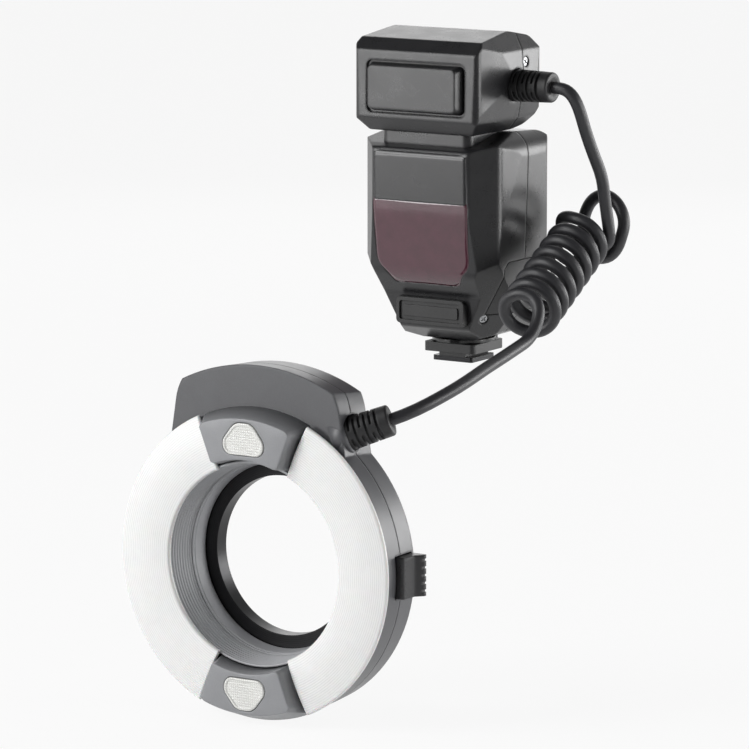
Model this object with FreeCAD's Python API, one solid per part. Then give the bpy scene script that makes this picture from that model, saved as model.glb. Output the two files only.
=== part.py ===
import FreeCAD, Part
import math
import os

# Macro ring flash: a shoe-mounted control unit, a curly cord and a ring-shaped flash head.
# Millimetres. +X is the viewer's right from the front, -Y is the front, +Z is up.
# Origin: centre of the shoe foot's underside, where the accessory shoe holds it.

os.makedirs("parts", exist_ok=True)
V = FreeCAD.Vector
UP = V(0, 0, 1)
RIGHT = V(1, 0, 0)
BACK = V(0, 1, 0)

# Walls and clearances
wall = 2.0
thin_wall = 1.2
seam_gap = 0.25
fit_gap = 0.3
running_gap = 0.05
button_gap = 0.15

# Shoe foot (the standard accessory foot)
foot_width = 18.6
foot_length = 18.0
foot_thickness = 2.0
foot_neck_width = 12.3
foot_neck_height = 2.0
block_width = 24.0
block_length = 24.0
block_height = 3.8
hub_radius = 9.0
lock_disc_radius = 13.0
lock_disc_height = 1.3
lock_handle_length = 9.0
lock_handle_width = 9.0
lock_pin_radius = 1.1
lock_pin_y = -5.6
hub_top_z = foot_thickness + foot_neck_height + block_height + lock_disc_height + 2 * fit_gap
contact_radius = 0.8
contact_travel = 0.4
contact_pocket_reach = 1.4
contact_pocket_roof = 0.7
contact_places = [(0.0, 1.8), (-3.6, 3.8), (3.6, 3.8), (-3.6, -1.8), (3.6, -1.8)]

# Control unit body
body_front_y = -34.6
body_rear_y = 17.5
body_half_width = 32.9
body_top_z = 95.4
body_seam_y = -4.0
body_corner_radius = 9.0
panel_half_width = body_half_width - 12.7
panel_thickness = 1.6
panel_top_z = body_top_z - 7.4
window_top_z = panel_top_z - 20.4
window_knee_z = 44.0
window_bottom_z = 34.2
window_half_width = body_half_width - 10.6
window_bottom_half_width = body_half_width - 18.0
window_thickness = 1.5
badge_front_y = body_front_y + 8.0
badge_half_width = body_half_width - 17.0
badge_bottom_z = hub_top_z + 7.4
badge_top_z = badge_bottom_z + 10.7
badge_depth = 3.4
badge_rim = 1.5
badge_recess = 0.9

# Battery bay: four AA cells lying across the body
cell_radius = 7.1
cell_length = 50.0
cell_pitch = 15.2
cell_centre_y = -5.0
cell_centre_z = 49.0
cell_play = 0.25
door_front_y = cell_centre_y - cell_pitch - 1.4
door_top_z = cell_centre_z + cell_pitch + 1.0
door_bottom_z = cell_centre_z - cell_pitch - 1.0
door_hinge = V(4.5 - body_half_width, body_rear_y - 4.7, 0)
door_pin_radius = 1.0
door_ear_radius = 2.2
door_ear_height = 5.0
door_barrel_radius = 3.2
door_latch_travel = 2.5
door_latch_raise = 0.6
cover_front_y = body_front_y + 15.0
cover_top_z = 44.0
cover_bottom_z = 22.0
cover_rear_y = 7.0

# Assist lamp behind the red window
lamp_radius = 2.5
lamp_z = window_knee_z + 8.0
lamp_board_thickness = 1.3

# Controls on the rear face
lcd_half_width = body_half_width - 11.9
lcd_top_z = body_top_z - 8.4
lcd_bottom_z = lcd_top_z - 25.5
lcd_window_thickness = 1.5
dial_radius = 11.0
dial_centre_z = 36.0
dial_thickness = 2.4
dial_inner_radius = 7.0
dial_recess_radius = 7.6
dial_recess_depth = 0.8
set_button_radius = 3.9
key_radius = 3.2
key_travel = 0.5
key_height = 1.0
key_row_z = lcd_bottom_z - 6.0
key_step = (lcd_half_width - 2.1) / 3
key_names = ["mode_button", "lamp_button", "group_button", "sync_button"]
test_button_radius = 2.6
test_button_x = body_half_width - 13.4
test_button_z = dial_centre_z + 2.0
switch_x = 10.9 - body_half_width
switch_z = dial_centre_z + 2.0
switch_travel = 5.0
switch_half_width = 2.6
switch_half_height = 3.4

# Head box on top of the body
head_front_y = body_front_y - 3.3
head_rear_y = body_rear_y - 4.7
head_height = 40.4
head_bottom_z = body_top_z + 0.4
head_top_z = head_bottom_z + head_height
head_half_width = body_half_width - 1.7
head_seam_y = -5.5
neck_half_width = head_half_width - 10.2
neck_front_y = body_front_y + 4.3
neck_rear_y = -4.0
neck_bottom_z = body_top_z - 11.4
frame_half_width = head_half_width - 8.2
frame_bottom_z = head_bottom_z + 7.6
frame_top_z = head_top_z - 11.6
panel_raise = 3.4
front_panel_half_width = head_half_width - 10.8
front_panel_bottom_z = frame_bottom_z + 2.0
front_panel_top_z = frame_top_z - 2.0
capacitor_radius = head_height / 2 - 8.7
capacitor_length = 2 * head_half_width - 22.4
capacitor_y = -18.0
driver_board_y = 2.0

# Ring head: the lens axis runs along Y
lens_axis_z = -59.4
ring_front_y = -156.0
ring_inner_radius = 39.0
ring_outer_radius = 61.5
ring_depth = 22.0
ring_seam_depth = ring_depth - 10.5
ring_width = ring_outer_radius - ring_inner_radius
ring_mid_radius = (ring_inner_radius + ring_outer_radius) / 2
ring_edge_radius = ring_outer_radius - 0.9
ring_seam_radius = ring_outer_radius - 1.0
ring_rear_radius = ring_outer_radius - 1.7
ring_wall = 1.8
hood_radius = ring_outer_radius + 15.9
hood_rear_radius = hood_radius - 1.0
hood_face_depth = 3.6
hood_half_angle = 42.5
hood_corner_x = ring_outer_radius - 25.0
hood_shoulder_round = 20.0
hood_crown_round = 22.0
bore_rear_radius = ring_inner_radius - 2.4
bore_wall = 1.4
bore_steps = 9
diffuser_half_gap_deg = 24.0
diffuser_wall = 1.5
diffuser_crown = 0.9
reflector_wall = 0.6
reflector_depth = ring_depth - 11.8
tube_radius = 1.7
tube_ring_radius = ring_mid_radius + 0.05
tube_depth = reflector_depth - 4.8
block_half_angle = 21.3
block_front_depth = -6.0
block_inner_radius = ring_inner_radius + 2.6
block_outer_radius = ring_outer_radius - 3.5
lens_inner_r = block_inner_radius + 2.0
lens_outer_r = block_outer_radius - 1.7
lens_height = lens_outer_r - lens_inner_r
lens_wide_r = lens_inner_r + lens_height * 0.386
lens_wide_half = 10.0
lens_narrow_half = 3.9
lens_thickness = 2.0
lamp_board_height = block_outer_radius - block_inner_radius - 6.4
board_thickness = 1.2

# Adapter ring and its two release catches
adapter_inner_radius = ring_inner_radius - 7.5
adapter_thread_radius = ring_inner_radius - 5.5
adapter_thread_length = 4.0
adapter_web = 2.4
adapter_body_radius = ring_inner_radius + 1.0
adapter_flange_radius = ring_inner_radius + 2.5
adapter_lip = 1.6
adapter_chamfer = 0.4
release_travel = 2.0
release_half_height = 8.0
release_outer_x = ring_outer_radius + 5.0
release_inner_x = ring_outer_radius - 1.5
yoke_play = ring_width * 0.2
yoke_thickness = 1.2
yoke_width = ring_width * 0.147
yoke_layer_gap = 0.8
hook_half_height = 6.0

# Screws
screw_head_radius = 1.8
screw_head_height = 0.9
screw_radius = 0.95
screw_slot_reach = 1.2
screw_length = 5.0
screw_boss_radius = 2.9
chin_screw = V(body_half_width - 11.2, body_front_y + 15.2, hub_top_z + 10.0)
ring_screw_radius = ring_outer_radius - ring_width * 0.26
ring_screw_angles = [50.0, 130.0, 230.0, 310.0]

# Curly cord
cord_diameter = 5.0
coil_radius = 10.1
coil_turns = 7.0
coil_front = V(body_half_width + 19.4, -37.0, 27.6)
coil_rear = V(body_half_width + 18.1, 8.5, 53.2)
loose_direction = V(-0.26, -0.95, 0.05)
end_direction = V(0.30, -0.90, -0.20)
coil_first_turn = -1.5
coil_last_turn = 7.25
coil_exit = V(61.8, -56.0, 18.9)
coil_exit_direction = V(0.06, -0.98, -0.17)
coil_exit_pull = 34.0
relief_radius = 6.5
relief_cap_radius = 6.1
relief_rings = 6
upper_relief_base = V(head_half_width - 0.2, -10.0, head_bottom_z + 18.8)
upper_relief_length = 16.5
lower_relief_radius = ring_outer_radius + 3.6
lower_relief_angle = math.radians(35.2)
lower_relief_base = V(lower_relief_radius * math.sin(lower_relief_angle), ring_front_y + 11.0,
                      lens_axis_z + lower_relief_radius * math.cos(lower_relief_angle))
lower_relief_direction = V(0.86, 0.38, 0.34)
lower_relief_length = 17.0


def box(x0, x1, y0, y1, z0, z1):
    """Box between two opposite corners, whose x values come in any order."""
    return Part.makeBox(abs(x1 - x0), y1 - y0, z1 - z0, V(min(x0, x1), y0, z0))


def rod(start, direction, radius, length):
    """Cylinder from a start point along a direction."""
    return Part.makeCylinder(radius, length, start, direction)


def on_plane(axis, level, u, v):
    """Point on the plane across an axis: (y, z) across x, (x, z) across y, (x, y) across z."""
    if axis == "x":
        return V(level, u, v)
    if axis == "y":
        return V(u, level, v)
    return V(u, v, level)


def outline(axis, level, corners):
    """Closed wire of straight edges with each corner (u, v, radius) rounded by an arc."""
    flat = [V(u, v, 0) for u, v, radius in corners]
    count = len(corners)
    starts = []
    ends = []
    middles = []
    for i in range(count):
        before = flat[i - 1] - flat[i]
        after = flat[(i + 1) % count] - flat[i]
        half = before.getAngle(after) / 2
        radius = corners[i][2]
        reach = radius / math.tan(half)
        before.normalize()
        after.normalize()
        bisector = before + after
        if radius > 0 and bisector.Length > 1e-6:
            bisector.normalize()
            starts.append(flat[i] + before * reach)
            ends.append(flat[i] + after * reach)
            middles.append(flat[i] + bisector * (radius / math.sin(half) - radius))
        else:
            starts.append(flat[i])
            ends.append(flat[i])
            middles.append(None)
    edges = []
    for i in range(count):
        a, m, b = starts[i], middles[i], ends[i]
        if m is not None:
            points = [on_plane(axis, level, p.x, p.y) for p in (a, m, b)]
            edges.append(Part.Arc(*points).toShape())
        c = starts[(i + 1) % count]
        if (c - b).Length > 1e-5:
            line = Part.LineSegment(on_plane(axis, level, b.x, b.y), on_plane(axis, level, c.x, c.y))
            edges.append(line.toShape())
    return Part.Wire(edges)


def prism(axis, low, high, corners, inset=0.0):
    """Rounded outline extruded along an axis, drawn in by an inset."""
    face = Part.Face(outline(axis, low, corners))
    if inset != 0:
        face = face.makeOffset2D(-inset)
    depth = high - low
    push = {"x": V(depth, 0, 0), "y": V(0, depth, 0), "z": V(0, 0, depth)}[axis]
    return face.extrude(push)


def both_sides(half):
    """Outline symmetric about u = 0 from its right half, listed from top to bottom."""
    return half + [(-u, v, radius) for u, v, radius in reversed(half)]


def ring_point(radius, angle_deg, depth):
    """Point of the ring head: angle from the top towards +X, depth behind its front plane."""
    a = math.radians(angle_deg)
    return V(radius * math.sin(a), ring_front_y + depth, lens_axis_z + radius * math.cos(a))


def revolved(profile, start_deg=0.0, sweep_deg=360.0):
    """Profile of (radius, depth) turned about the lens axis, start measured from the top."""
    points = [V(0, ring_front_y + depth, lens_axis_z + radius) for radius, depth in profile]
    face = Part.Face(Part.makePolygon(points + points[:1]))
    face.rotate(V(0, 0, lens_axis_z), BACK, start_deg)
    return face.revolve(V(0, 0, lens_axis_z), BACK, sweep_deg)


def save(name, shape):
    """Write one sub-part, and say when its solid isn't sound."""
    if not shape.isValid() or not shape.Solids:
        print("not sound:", name, shape.ShapeType, len(shape.Solids))
    shape = shape.removeSplitter() if len(shape.Solids) == 1 else shape
    shape.exportStep("parts/" + name + ".step")
    made[name] = shape


made = {}
screws = []


# Control unit outlines
body_front_outline = both_sides([
    (body_half_width, body_top_z + 0.6, 10.0),
    (body_half_width - 1.7, 46.0, 40.0),
    (body_half_width - 2.9, 24.5, 7.0),
    (body_half_width - 10.9, hub_top_z + 3.5, 3.0),
    (hub_radius + 2.5, hub_top_z, 1.0),
])
body_side_outline = [
    (body_front_y, body_top_z - 6.4, 2.5),
    (body_front_y + 4.6, body_top_z - 5.0, 2.0),
    (-6.0, body_top_z, 14.0),
    (body_rear_y, body_top_z - 1.0, body_corner_radius),
    (body_rear_y, hub_top_z + 4.8, 6.0),
    (body_rear_y - 4.5, hub_top_z, 1.5),
    (-12.0, hub_top_z, 1.5),
    (body_front_y + 12.0, hub_top_z + 5.8, 2.5),
    (body_front_y + 10.0, badge_top_z + 1.7, 3.0),
    (body_front_y + 3.6, badge_top_z + 10.7, 8.0),
    (body_front_y + 0.6, 62.0, 40.0),
]
body_plan_outline = [
    (10.9 - body_half_width, body_front_y - 0.2, 4.0),
    (body_half_width - 10.9, body_front_y - 0.2, 4.0),
    (body_half_width - 1.4, body_front_y + 10.5, 5.0),
    (body_half_width, -4.0, 60.0),
    (body_half_width - 0.5, body_rear_y, body_corner_radius),
    (-body_half_width + 0.5, body_rear_y, body_corner_radius),
    (-body_half_width, -4.0, 60.0),
    (1.4 - body_half_width, body_front_y + 10.5, 5.0),
]
far = 80.0


def chin_corner(side):
    """Front end of the chin facet's line across the body at the badge's height."""
    return V(side * (body_half_width - 15.7), body_front_y + 9.6, 20.0)


def chin_normal(side):
    """Outward normal of the facet that takes the lower front corner off the body."""
    a = chin_corner(side)
    b = V(side * (body_half_width - 6.5), body_front_y + 24.6, 20.0)
    c = V(side * (body_half_width - 0.4), body_front_y + 9.9, 47.0)
    normal = (b - a).cross(c - a)
    normal.normalize()
    return normal if normal.x * side > 0 else normal * -1


def chin_cut(side, inset):
    """Wedge beyond the chin facet, moved in by an inset."""
    normal = chin_normal(side)
    start = chin_corner(side) - normal * inset
    face = Part.makePlane(far, far, start, normal)
    centre = face.CenterOfMass
    face.translate(start - centre)
    return face.extrude(normal * far)


def body_form(inset):
    """Whole outer form of the body, or its inside when drawn in by the wall."""
    form = prism("y", -far, far, body_front_outline, inset)
    form = form.common(prism("x", -far, far, body_side_outline, inset))
    form = form.common(prism("z", -far, 2 * far, body_plan_outline, inset))
    form = form.cut(chin_cut(1, inset))
    return form.cut(chin_cut(-1, inset))


head_front_outline = both_sides([
    (head_half_width - 4.6, head_top_z, 1.5),
    (head_half_width - 0.8, head_top_z - 7.9, 2.5),
    (head_half_width, head_top_z - 19.2, 40.0),
    (head_half_width - 2.6, head_bottom_z + 5.6, 2.5),
    (head_half_width - 7.2, head_bottom_z, 1.5),
])
head_side_outline = [
    (head_front_y + 0.3, head_top_z - 7.9, 1.2),
    (head_front_y + 4.7, head_top_z - 3.0, 1.2),
    (-10.8, head_top_z, 6.0),
    (head_rear_y - 9.3, head_top_z - 2.6, 7.0),
    (head_rear_y, head_top_z - 12.2, 9.0),
    (head_rear_y, head_bottom_z + 11.2, 9.0),
    (head_rear_y - 8.8, head_bottom_z + 1.7, 6.0),
    (-4.0, head_bottom_z, 2.0),
    (head_front_y + 4.5, head_bottom_z, 1.2),
    (head_front_y, head_bottom_z + 5.6, 1.2),
]
head_plan_outline = [
    (2.3 - head_half_width, head_front_y, 3.0),
    (head_half_width - 2.3, head_front_y, 3.0),
    (head_half_width, -12.0, 40.0),
    (head_half_width - 0.3, head_rear_y, 8.0),
    (-head_half_width + 0.3, head_rear_y, 8.0),
    (-head_half_width, -12.0, 40.0),
]


def head_form(inset):
    """Whole outer form of the head box, or its inside when drawn in by the wall."""
    form = prism("y", -far, far, head_front_outline, inset)
    form = form.common(prism("x", -far, far, head_side_outline, inset))
    return form.common(prism("z", 0, 2 * far, head_plan_outline, inset))


def make_screw(seat, outward, length):
    """Cross-slotted pan head on its seat and the shank below it."""
    head = rod(seat, outward, screw_head_radius, screw_head_height)
    shank = rod(seat - outward * length, outward, screw_radius, length)
    across = outward.cross(V(0.3, 0.5, 0.8))
    across.normalize()
    other = outward.cross(across)
    screw = head.fuse(shank)
    for way in (across, other):
        slot = Part.makeBox(2 * screw_slot_reach, 0.45, screw_head_height,
                            V(-screw_slot_reach, -0.225, 0))
        turn = FreeCAD.Matrix(way.x, outward.cross(way).x, outward.x, 0,
                              way.y, outward.cross(way).y, outward.y, 0,
                              way.z, outward.cross(way).z, outward.z, 0, 0, 0, 0, 1)
        slot = slot.transformGeometry(turn)
        slot.translate(seat + outward * (screw_head_height * 0.45))
        screw = screw.cut(slot)
    return screw


def screw_room(seat, outward, length):
    """Recess for a screw's head and the hole that its shank fills."""
    recess = rod(seat, outward, screw_head_radius + fit_gap, 8.0)
    return recess.fuse(rod(seat - outward * (length + 0.2), outward, screw_radius, length + 0.4))


def framed(half_width, bottom, top, radius):
    """Upright rounded rectangle about x = 0."""
    return [(-half_width, top, radius), (half_width, top, radius),
            (half_width, bottom, radius), (-half_width, bottom, radius)]


# Shoe foot, contacts, locking disc and pin
def make_foot():
    """Foot plate, the block and hub that it carries, and the contacts, pin and disc that move in them."""
    neck_top = foot_thickness + foot_neck_height
    block_top = neck_top + block_height
    disc_bottom = block_top + fit_gap
    plate = prism("z", 0, foot_thickness, [
        (-foot_width / 2, -foot_length / 2, 1.0), (foot_width / 2, -foot_length / 2, 1.0),
        (foot_width / 2, foot_length / 2, 1.0), (-foot_width / 2, foot_length / 2, 1.0)])
    neck = box(-foot_neck_width / 2, foot_neck_width / 2, -foot_length / 2, foot_length / 2,
               foot_thickness, neck_top)
    block = prism("z", neck_top, block_top, [
        (-block_width / 2, -block_length / 2, 2.0), (block_width / 2, -block_length / 2, 2.0),
        (block_width / 2, block_length / 2, 2.0), (-block_width / 2, block_length / 2, 2.0)])
    hub = rod(V(0, 0, block_top), UP, hub_radius, hub_top_z - block_top)
    pin_hole = rod(V(0, lock_pin_y, -1), UP, lock_pin_radius + running_gap, hub_top_z + 2)
    plate = plate.cut(pin_hole)
    pocket_top = block_top - contact_pocket_roof
    contact_top = pocket_top - contact_travel - 0.2
    contacts = []
    for x, y in contact_places:
        plate = plate.cut(rod(V(x, y, -1), UP, contact_radius + running_gap, foot_thickness + 2))
        contacts.append(rod(V(x, y, -contact_travel), UP, contact_radius, contact_top + contact_travel))
    xs = [x for x, y in contact_places]
    ys = [y for x, y in contact_places]
    pocket = box(min(xs) - contact_pocket_reach, max(xs) + contact_pocket_reach,
                 min(ys) - contact_pocket_reach, max(ys) + contact_pocket_reach, 0, pocket_top)
    save("shoe_foot", plate)
    save("foot_block", neck.fuse([block, hub]).cut(pin_hole).cut(pocket))
    save("shoe_contacts", Part.makeCompound(contacts))
    save("lock_pin", rod(V(0, lock_pin_y, fit_gap), UP, lock_pin_radius, hub_top_z - 2 * fit_gap))

    disc = rod(V(0, 0, disc_bottom), UP, lock_disc_radius, lock_disc_height)
    rear = block_length / 2 + lock_handle_length
    arm = box(-lock_handle_width / 2, lock_handle_width / 2, hub_radius + 1, rear,
              disc_bottom, disc_bottom + lock_disc_height)
    pad = prism("z", neck_top + 0.5, disc_bottom + lock_disc_height, [
        (-lock_handle_width / 2, block_length / 2 + 4.5, 1.0),
        (lock_handle_width / 2, block_length / 2 + 4.5, 1.0),
        (lock_handle_width / 2, rear, 2.0), (-lock_handle_width / 2, rear, 2.0)])
    lever = disc.fuse([arm, pad])
    lever = lever.cut(rod(V(0, 0, 0), UP, hub_radius + running_gap, 30))
    save("lock_lever", lever)


# Body shells and what is set in them
def make_body():
    """Front and rear shells, front panel, red window, badge plate, side cover and the neck."""
    outer = body_form(0)
    inner = body_form(wall)
    hollow = outer.cut(inner)
    floor = box(-hub_radius - 6.0, hub_radius + 6.0, -12, 12, hub_top_z, hub_top_z + 3.0)
    hollow = hollow.fuse(floor.common(outer))
    hollow = hollow.cut(box(-11, 11, -24, -9, neck_bottom_z, head_bottom_z))

    panel_outline = framed(panel_half_width, window_top_z, panel_top_z, 2.0)
    seat = prism("y", -far, 0, panel_outline).common(outer).cut(body_form(panel_thickness))
    hollow = hollow.cut(seat)
    window_outline = [
        (-window_half_width, window_top_z, 0.6), (window_half_width, window_top_z, 0.6),
        (window_half_width - 0.8, window_knee_z, 4.0), (window_bottom_half_width, window_bottom_z, 2.5),
        (-window_bottom_half_width, window_bottom_z, 2.5), (0.8 - window_half_width, window_knee_z, 4.0)]
    panel = prism("y", -far, 0, framed(panel_half_width - fit_gap, window_top_z + fit_gap / 2,
                                       panel_top_z - fit_gap, 2.0))
    panel = panel.common(outer).cut(body_form(panel_thickness))
    pane_space = prism("y", -far, 0, window_outline)
    lamp_hole = prism("y", -far, 0, window_outline, 3.0)
    hollow = hollow.cut(lamp_hole.common(box(-far, far, -far, body_front_y + 14.6, 0, far)))
    hollow = hollow.cut(pane_space.common(outer).cut(body_form(window_thickness)))
    window = prism("y", -far, 0, window_outline, fit_gap / 2).common(outer)
    window = window.cut(body_form(window_thickness))
    save("front_panel", panel)
    save("red_window", window)

    badge = prism("y", badge_front_y, badge_front_y + badge_depth,
                  framed(badge_half_width, badge_bottom_z, badge_top_z, 1.8))
    recess = prism("y", badge_front_y, badge_front_y + badge_recess,
                   framed(badge_half_width - badge_rim, badge_bottom_z + badge_rim,
                          badge_top_z - badge_rim, 1.0))
    raised = prism("y", badge_front_y + 0.3, badge_front_y + badge_recess,
                   framed(badge_half_width - 2 * badge_rim, badge_bottom_z + 2 * badge_rim,
                          badge_top_z - 2 * badge_rim, 0.8))
    badge = badge.cut(recess).fuse(raised)
    hollow = hollow.cut(badge)
    save("badge_plate", badge)

    door_box = box(-far, -20, door_front_y, door_hinge.y, door_bottom_z, door_top_z)
    cover_outline = [
        (cover_front_y, cover_top_z - 2.5, 1.5), (cover_front_y + 3.0, cover_top_z, 1.5),
        (cover_rear_y, cover_top_z, 1.0), (cover_rear_y, cover_bottom_z, 1.0),
        (cover_front_y, cover_bottom_z, 1.0)]
    cover_box = prism("x", 18, far, cover_outline)
    bay = box(-far, -20, cell_centre_y - cell_pitch, cell_centre_y + cell_pitch,
              cell_centre_z - cell_pitch, cell_centre_z + cell_pitch)
    hollow = hollow.cut(door_box.common(outer)).cut(bay.common(outer))
    hollow = hollow.cut(cover_box.common(outer).cut(body_form(thin_wall)))
    side_cover = prism("x", 18, far, cover_outline, fit_gap).common(outer).cut(body_form(thin_wall))
    save("side_cover", side_cover)

    height = door_top_z - door_bottom_z
    room_radius = door_barrel_radius + fit_gap
    hollow = hollow.cut(rod(door_hinge + UP * door_bottom_z, UP, room_radius, height))
    door = box(-far, -20, door_front_y + fit_gap, door_hinge.y, door_bottom_z + fit_gap,
               door_top_z - fit_gap).common(outer).cut(body_form(wall - 0.4))
    barrel_low = door_bottom_z + door_ear_height
    barrel_high = door_top_z - door_ear_height
    barrel = rod(door_hinge + UP * barrel_low, UP, door_barrel_radius, barrel_high - barrel_low)
    door = door.fuse(barrel.common(outer))
    pin = rod(door_hinge + UP * (door_bottom_z + 1.0), UP, door_pin_radius, height - 2.0)
    door = door.cut(rod(door_hinge, UP, door_pin_radius + running_gap, 200))
    ears = []
    for low in (door_bottom_z, barrel_high + fit_gap):
        high = low + door_ear_height - fit_gap
        door = door.cut(rod(door_hinge + UP * (low - fit_gap), UP, door_ear_radius + fit_gap,
                            high - low + 2 * fit_gap))
        ears.append(rod(door_hinge + UP * low, UP, door_ear_radius, high - low))
    latch_y = door_front_y + 4.5
    latch_z = (door_bottom_z + door_top_z) / 2
    slot = box(-far, -20, latch_y - 2.2, latch_y + 2.2, latch_z - 4, latch_z + 4 + door_latch_travel)
    door = door.cut(slot.common(outer).cut(body_form(thin_wall - 0.2)))
    thumb = box(-far, -20, latch_y - 2.0, latch_y + 2.0, latch_z - 3.8, latch_z + 3.8)
    thumb = thumb.common(body_form(-door_latch_raise)).cut(body_form(thin_wall - 0.4))
    save("battery_door", door)
    save("door_hinge_pin", pin)
    save("door_latch", thumb)
    tie = box(door_hinge.x + 1.0, door_hinge.x + 3.8, door_hinge.y - 1.0, body_rear_y - 0.5,
              door_bottom_z - 1.0, door_top_z + 1.0)
    tie = tie.common(outer).cut(box(-far, 0, -far, far, barrel_low - fit_gap, barrel_high + fit_gap))
    post = Part.makeCompound([tie] + ears).cut(rod(door_hinge, UP, door_pin_radius, 200))
    front = hollow.common(box(-far, far, -far, body_seam_y - seam_gap / 2, 0, 2 * far))
    rear = hollow.common(box(-far, far, body_seam_y + seam_gap / 2, far, 0, 2 * far))
    rear = rear.fuse(post.Solids)
    for side in (-1, 1):
        outward = chin_normal(side)
        spot = V(side * chin_screw.x, chin_screw.y, chin_screw.z)
        seat = spot - outward * ((spot - chin_corner(side)).dot(outward) + screw_head_height + 0.4)
        boss = rod(seat - outward * (screw_length + 0.6), outward, screw_boss_radius, screw_length + 0.6)
        front = front.fuse(boss.common(outer)).cut(screw_room(seat, outward, screw_length))
        screws.append(make_screw(seat, outward, screw_length))

    neck = prism("z", neck_bottom_z, head_bottom_z, [
        (-neck_half_width, neck_front_y, 3.5), (neck_half_width, neck_front_y, 3.5),
        (neck_half_width, neck_rear_y, 1.0), (-neck_half_width, neck_rear_y, 1.0)])
    neck = neck.cut(box(4.0 - neck_half_width, neck_half_width - 4.0, neck_front_y + wall,
                        neck_rear_y - wall, 0, 2 * far))
    neck = neck.cut(outer)
    save("neck", neck)
    return front, rear


def make_rear_controls(rear):
    """Display, keys, dial, switch and board at the rear face, with their holes in the shell."""
    lcd = framed(lcd_half_width, lcd_bottom_z, lcd_top_z, 2.0)
    rear = rear.cut(prism("y", body_rear_y - lcd_window_thickness, body_rear_y + 5, lcd))
    rear = rear.cut(prism("y", 10, body_rear_y + 5, lcd, 2.0))
    window = prism("y", body_rear_y - lcd_window_thickness, body_rear_y - 0.1, lcd, fit_gap / 2)
    save("display_window", window)
    module_front = body_rear_y - lcd_window_thickness - fit_gap - 3.0
    module = prism("y", module_front, module_front + 3.0, lcd, 2.4)
    save("display_module", module)

    board_y = module_front - board_thickness
    board_half = body_half_width - 8.9
    board = box(-board_half, board_half, board_y, board_y + board_thickness, dial_centre_z - 10.0, lcd_top_z)
    save("control_board", board)
    key_base = board_y + board_thickness + fit_gap
    spots = [(name, (2 * i - 3) * key_step, key_row_z, key_radius) for i, name in enumerate(key_names)]
    spots.append(("test_button", test_button_x, test_button_z, test_button_radius))
    for name, x, z, radius in spots:
        base = V(x, key_base + key_travel, z)
        rear = rear.cut(rod(V(x, 0, z), BACK, radius + button_gap, far))
        cap = rod(base, BACK, radius, body_rear_y + key_height - base.y)
        flange = rod(V(x, body_rear_y - wall - fit_gap - 0.5, z), BACK, radius + 0.7, 0.5)
        cap = cap.fuse(flange)
        top_edges = [e for e in cap.Edges if abs(e.BoundBox.YMin - body_rear_y - key_height) < 0.01]
        save(name, cap.makeFillet(0.35, top_edges))

    dial_top = body_rear_y + dial_thickness
    recess_y = dial_top - dial_recess_depth
    dial = rod(V(0, body_rear_y + fit_gap, dial_centre_z), BACK, dial_radius, dial_thickness - fit_gap)
    for i in range(24):
        a = math.radians(360 / 24 * i)
        notch = V(dial_radius * math.sin(a), body_rear_y, dial_centre_z + dial_radius * math.cos(a))
        dial = dial.cut(rod(notch, BACK, 0.55, 5))
    dial = dial.cut(rod(V(0, 0, dial_centre_z), BACK, dial_inner_radius, far))
    dial = dial.cut(rod(V(0, recess_y, dial_centre_z), BACK, dial_recess_radius, far))
    hub = rod(V(0, body_rear_y - wall / 2, dial_centre_z), BACK, dial_inner_radius - running_gap,
              dial_thickness + wall / 2 - 0.2)
    rim = rod(V(0, recess_y + 0.1, dial_centre_z), BACK, dial_recess_radius - fit_gap,
              dial_recess_depth - 0.3)
    rear = rear.fuse([hub, rim])
    rear = rear.cut(rod(V(0, 0, dial_centre_z), BACK, set_button_radius + button_gap, far))
    save("select_dial", dial)
    button = rod(V(0, key_base + key_travel, dial_centre_z), BACK, set_button_radius,
                 body_rear_y + dial_thickness + 0.3 - key_base - key_travel)
    save("set_button", button)

    track_low = switch_z - switch_half_height - switch_travel / 2
    track_high = switch_z + switch_half_height + switch_travel / 2
    track = box(switch_x - switch_half_width, switch_x + switch_half_width, 0, far,
                track_low, track_high)
    rear = rear.cut(track)
    knob_low = track_low + button_gap
    knob_high = knob_low + 2 * switch_half_height - 2 * button_gap
    knob = box(switch_x - switch_half_width + button_gap, switch_x + switch_half_width - button_gap,
               key_base, body_rear_y + 1.6, knob_low, knob_high)
    save("power_switch", knob)
    return rear


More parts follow.
